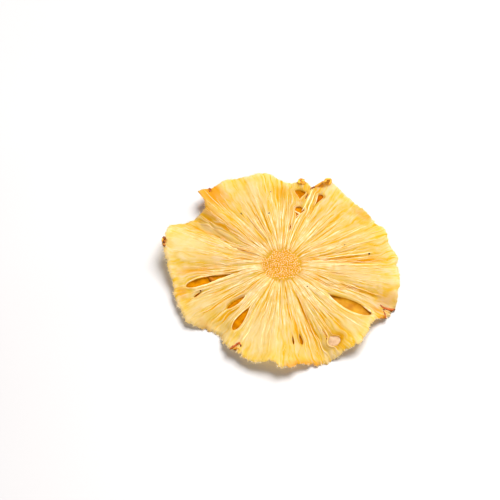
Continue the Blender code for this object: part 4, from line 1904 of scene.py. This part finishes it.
@dataclass
class RimCurls(Strands):
    """Browned strands and rolled edges at the rim."""

    steps_each: int = 7
    sides: int = 9

    def line(self, curl: Curl) -> Line:
        """A curl's line, smooth through the places that it passes.

        Args:
            curl: The curl.

        Returns:
            Its points, each with its girth.
        """
        course = [Vector(place) for place in (curl.course[0], *curl.course, curl.course[-1])]
        legs = len(curl.course) - 1
        line = []
        for step, share in enumerate(shares(self.steps_each * legs)):
            leg = min(step // self.steps_each, legs - 1)
            t = step / self.steps_each - leg
            a, b, c, d = course[leg:leg + 4]
            angle, radius = b + 0.5 * t * (
                (c - a) + t * ((2.0 * a - 5.0 * b + 4.0 * c - d) + t * (3.0 * (b - c) + d - a))
            )
            moved, upper, _ = self.form.spot(angle, min(radius, self.form.rim(angle)[0] - 0.3))
            ends = taper(share, 0.04, 0.4)
            uneven = 1.0 + 0.35 * noise_at(radius * 1.3, angle, 4.0)
            girth = between(curl.start_girth, curl.end_girth, share) * ends * uneven
            line.append((polar(moved, radius, upper + curl.lift * ends - 0.4 * girth), girth))
        return line

    def build(self, burnt: bool, finish: ScabFinish) -> bpy.types.Object:
        """Makes the piece of the burnt or of the rolled curls."""
        lines = (self.line(curl) for curl in CURLS if curl.burnt is burnt)
        return self.piece("burnt_rim_strands" if burnt else "rolled_rim_edges", lines, self.sides, finish)


@dataclass
class CavityFilms:
    """Thin sheets that close the cavities below their lips: the amber, golden and deep ones are painted
    shadow, dark sheets where the shaded table below would show; the pale one is a thin dried skin.
    """

    form: SliceForm
    along: int = 24
    across: int = 12
    thickness: float = 0.16
    overlap: float = 0.35
    sag: float = 0.25
    unevenness: float = 0.16
    clear_of_table: float = 0.05

    def surface(self, film: Film, share: float, side: float) -> Point:
        """A point of the skin's upper face.

        Args:
            film: The skin.
            share: Where along the cavity, from 0 to 1.
            side: Where across it, from -1 to 1.

        Returns:
            The point.
        """
        cavity = CAVITIES[film.cavity]
        radius = between(cavity.inner, cavity.outer, share)
        low, _ = self.form.part(cavity.angle, radius, Lip.CLOCKWISE)
        high, _ = self.form.part(cavity.angle, radius, Lip.ANTICLOCKWISE)
        spare = math.degrees(self.overlap / radius)
        angle = 0.5 * (low + high) + 0.5 * (high - low + 2.0 * spare) * side
        upper, lower, _ = self.form.heights(cavity.angle, radius, (angle, self.form.edge_rounding))
        height = between(upper, lower + self.thickness, between(film.depth, 0.5, side**4))
        height += self.unevenness * noise_at(angle * 0.8, radius * 0.5, 2.0)
        height -= self.sag * (1.0 - side * side)
        return polar(angle, radius, max(height, self.thickness + self.clear_of_table))

    def add(self, sketch: MeshSketch, film: Film) -> None:
        """Adds one closed skin.

        Args:
            sketch: The mesh to be.
            film: The skin.
        """
        grid = []
        for share in shares(self.along):
            line = []
            for column in range(self.across + 1):
                x, y, z = self.surface(film, share, 2.0 * column / self.across - 1.0)
                line.append((sketch.add((x, y, z)), sketch.add((x, y, z - self.thickness))))
            grid.append(line)
        for row, after in zip(grid, grid[1:]):
            for column in range(self.across):
                sketch.face_pair(row[column], after[column], after[column + 1], row[column + 1])
        border = [row[0] for row in grid[:0:-1]] + grid[0][:-1]
        border += [row[-1] for row in grid[:-1]] + grid[-1][:0:-1]
        for here, after in zip(border, border[1:] + border[:1]):
            sketch.faces.append((*here, after[1], after[0]))

    def build(self, skin: Skin, finish: FibreFinish) -> bpy.types.Object:
        """Makes the piece of one kind of skin.

        Args:
            skin: The kind.
            finish: Its finish.

        Returns:
            The skins' object.
        """
        sketch = MeshSketch()
        for film in FILMS:
            if film.skin is skin:
                self.add(sketch, film)
        return sketch.mesh_object(skin.value, finish.material())


@dataclass
class Lumps:
    """Small uneven lumps half sunk in the flesh: burnt crusts, and dark specks."""

    form: SliceForm
    rings: int = 9
    sectors: int = 14
    roughness: float = 0.42
    sunk: float = 0.15

    def add(self, sketch: MeshSketch, lump: Crust) -> None:
        """Adds one closed lump.

        Args:
            sketch: The mesh to be.
            lump: Its place and size.
        """
        reach = self.form.rim(lump.angle)[0]
        parted = self.form.part(lump.angle, min(lump.radius, reach), Lip.ANTICLOCKWISE)
        upper, _, _ = self.form.heights(lump.angle, min(lump.radius, reach - 0.2), parted)
        outward = Vector(polar(parted[0], 1.0))
        aside = Vector((-outward.y, outward.x, 0.0))
        centre = outward * lump.radius + Vector((0.0, 0.0, upper - self.sunk * lump.height))
        spin = Matrix.Rotation(math.radians(lump.skew), 3, "Z")
        seed = Vector((lump.angle, lump.radius, 7.0))
        rows: list[list[int]] = []
        for ring in range(self.rings + 1):
            tilt = math.pi * ring / self.rings
            rows.append([])
            for sector in range(1 if ring in (0, self.rings) else self.sectors):
                around = 2.0 * math.pi * sector / self.sectors
                level = math.sin(tilt)
                away = Vector((level * math.cos(around), level * math.sin(around), math.cos(tilt)))
                swell = 1.0 + self.roughness * noise.noise(away * 1.3 + seed)
                swell += 0.6 * self.roughness * noise.noise(away * 3.1 + seed)
                sized = spin @ (Vector((away.x * lump.half_outward, away.y * lump.half_round, 0.0)) * swell)
                point = centre + outward * sized.x + aside * sized.y
                point.z = max(point.z + away.z * lump.height * swell, 0.05)
                rows[-1].append(sketch.add(tuple(point)))
        for row, below in zip(rows, rows[1:]):
            for sector in range(self.sectors):
                after = (sector + 1) % self.sectors
                face = (row[after % len(row)], row[sector % len(row)])
                face += (below[sector % len(below)], below[after % len(below)])
                sketch.faces.append(tuple(dict.fromkeys(face)))

    def build(self, name: str, lumps: Iterable[Crust], finish: ScabFinish) -> bpy.types.Object:
        """Makes a piece of lumps.

        Args:
            name: The piece's name.
            lumps: Their places and sizes.
            finish: Their finish.

        Returns:
            The lumps' object.
        """
        sketch = MeshSketch()
        for lump in lumps:
            self.add(sketch, lump)
        return sketch.mesh_object(name, finish.material())


@dataclass
class Studio:
    """A pale table, soft light from behind and above, and a camera that looks down at the slice."""

    aim: Vector
    elevation: float = 57.0
    distance: float = 0.4
    lens: float = 81.1
    half_table: float = 3.0
    table_height: float = -0.0001
    lamp_size: float = 0.60
    room_light: float = 0.22

    def table(self) -> None:
        """Lays the table under the slice."""
        mesh = bpy.data.meshes.new("pale_table")
        square = ((-1.0, -1.0), (1.0, -1.0), (1.0, 1.0), (-1.0, 1.0))
        corners = [(x * self.half_table, y * self.half_table, self.table_height) for x, y in square]
        mesh.from_pydata(corners, [], [(0, 1, 2, 3)])
        mesh.materials.append(TableFinish().material())
        table = bpy.data.objects.new("pale_table", mesh)
        bpy.context.scene.collection.objects.link(table)
        table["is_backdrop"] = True

    def lamp(self, name: str, place: Point, power: float, colour: Colour) -> None:
        """Adds a square soft light that faces the slice.

        Args:
            name: Its name.
            place: Where it is, in metres.
            power: Its power, in watts.
            colour: The colour of its light.
        """
        light = bpy.data.lights.new(name, "AREA")
        light.shape = "SQUARE"
        light.size = self.lamp_size
        light.energy = power
        light.color = colour
        lamp = bpy.data.objects.new(name, light)
        lamp.location = place
        lamp.rotation_euler = (Vector(place) - self.aim).to_track_quat("Z", "Y").to_euler()
        bpy.context.scene.collection.objects.link(lamp)

    def world(self) -> None:
        """Fills the room with even white light."""
        world = bpy.data.worlds.new("soft_room")
        world.use_nodes = True
        background = world.node_tree.nodes["Background"]
        background.inputs["Color"].default_value = (1.0, 0.99, 0.98, 1.0)
        background.inputs["Strength"].default_value = self.room_light
        bpy.context.scene.world = world

    def camera(self) -> None:
        """Places the camera."""
        data = bpy.data.cameras.new("camera")
        data.lens = self.lens
        data.sensor_width = 36.0
        data.clip_start = 0.01
        tilt = math.radians(self.elevation)
        camera = bpy.data.objects.new("camera", data)
        camera.location = self.aim + self.distance * Vector((0.0, -math.cos(tilt), math.sin(tilt)))
        camera.rotation_euler = (0.5 * math.pi - tilt, 0.0, 0.0)
        bpy.context.scene.collection.objects.link(camera)
        bpy.context.scene.camera = camera

    def build(self) -> None:
        """Sets up table, light and camera."""
        bpy.context.scene.view_settings.view_transform = "Standard"
        self.table()
        self.world()
        self.lamp("window", (0.28, 0.38, 0.87), 24.0, (1.0, 0.99, 0.97))
        self.lamp("reflector", (-0.30, -0.75, 0.50), 5.0, (1.0, 1.0, 1.0))
        self.camera()


PALE_FIBRE = FibreFinish("pale_fibre", ((0.88, 0.60, 0.19), (0.91, 0.75, 0.44)))
RIM_FIBRE = FibreFinish(
    "rim_fibre", ((0.90, 0.70, 0.34), (0.92, 0.82, 0.58)), (0.98, 0.84, 0.50), see_through=0.25
)
BROWNED_FIBRE = FibreFinish(
    "browned_fibre", ((0.20, 0.055, 0.004), (0.36, 0.12, 0.008)), see_through=0.1, gloss=0.03
)
CORE_TIP = FibreFinish("core_tip", ((0.92, 0.60, 0.17), (0.95, 0.72, 0.34)), (1.0, 0.70, 0.24), 900.0)
# Painted shadow: the amber, golden and deep skins are dark sheets standing for the shaded table seen through
# the cavities.
SKINS = {
    Skin.PALE: FibreFinish("pale_skin", ((0.40, 0.22, 0.09), (0.54, 0.35, 0.19)), cells=800.0),
    Skin.AMBER: FibreFinish(
        "amber_shadow_skin", ((0.42, 0.16, 0.002), (0.55, 0.28, 0.012)), (1.0, 0.5, 0.01), 300.0, gloss=0.05
    ),
    Skin.GOLDEN: FibreFinish(
        "golden_shadow_skin", ((0.34, 0.11, 0.001), (0.52, 0.20, 0.002)), (1.0, 0.4, 0.004), gloss=0.0
    ),
    Skin.DEEP_SHADOW: FibreFinish(
        "deep_shadow_skin", ((0.26, 0.055, 0.001), (0.42, 0.11, 0.001)), (1.0, 0.3, 0.003), gloss=0.0
    ),
}
BURNT_CRUST = ScabFinish("burnt_crust", ((0.46, 0.15, 0.016), (0.20, 0.055, 0.010), (0.04, 0.012, 0.004)))
REDDISH_BROWN = ScabFinish("reddish_brown", ((0.48, 0.10, 0.004), (0.34, 0.06, 0.003), (0.12, 0.03, 0.005)))
ROLLED_RIM = ScabFinish("rolled_rim", ((0.80, 0.43, 0.045), (0.58, 0.25, 0.014), (0.30, 0.12, 0.010)))
DARK_SPECK = ScabFinish("dark_speck", ((0.16, 0.09, 0.020), (0.08, 0.04, 0.010), (0.03, 0.015, 0.006)))


def dress(piece: bpy.types.Object, replaces: Optional[str] = None) -> None:
    """Ties a piece to the body, hides any solid that it stands for, and logs it.

    Args:
        piece: The finished piece.
        replaces: The solid that it stands for, if any.
    """
    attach(piece, BODY)
    if replaces is not None:
        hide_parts(replaces)
    faces = sum(len(polygon.vertices) - 2 for polygon in piece.data.polygons)
    LOG.info("%s: %d triangles", piece.name, faces)


def write_sizes() -> None:
    """Writes the solid's box and the visual model's box."""
    boxes = {"cad": CAD_BOX, "visual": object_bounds()}
    plain = {name: [[float(value) for value in corner] for corner in box] for name, box in boxes.items()}
    LOG.info("sizes: %s", plain)


def main() -> None:
    """Builds every piece in order."""
    logging.basicConfig(level=logging.INFO, format="%(name)s %(message)s")
    form = SliceForm()
    tree = StrandTree()
    dress(FleshNet(form).build(FleshFinish()), NODE)
    dress(CoreTips(form).build(CORE_TIP))
    dress(LooseFibres(form, tree).build(PALE_FIBRE))
    dress(RimFringe(form, tree).build(RIM_FIBRE))
    dress(RaisedStrands(form, tree).build(PALE_FIBRE))
    dress(CavityStrands(form, tree).build(False, PALE_FIBRE))
    dress(CavityStrands(form, tree).build(True, BROWNED_FIBRE))
    for skin, finish in SKINS.items():
        dress(CavityFilms(form).build(skin, finish))
    dress(Lumps(form).build("burnt_crusts", CRUSTS, BURNT_CRUST))
    dress(RimCurls(form, tree).build(False, ROLLED_RIM))
    dress(RimCurls(form, tree).build(True, REDDISH_BROWN))
    dress(Lumps(form).build("dark_specks", SPECKS, DARK_SPECK))
    Studio(SLICE_MIDDLE + CORE_ORIGIN).build()
    write_sizes()


if __name__ == "__main__":
    main()
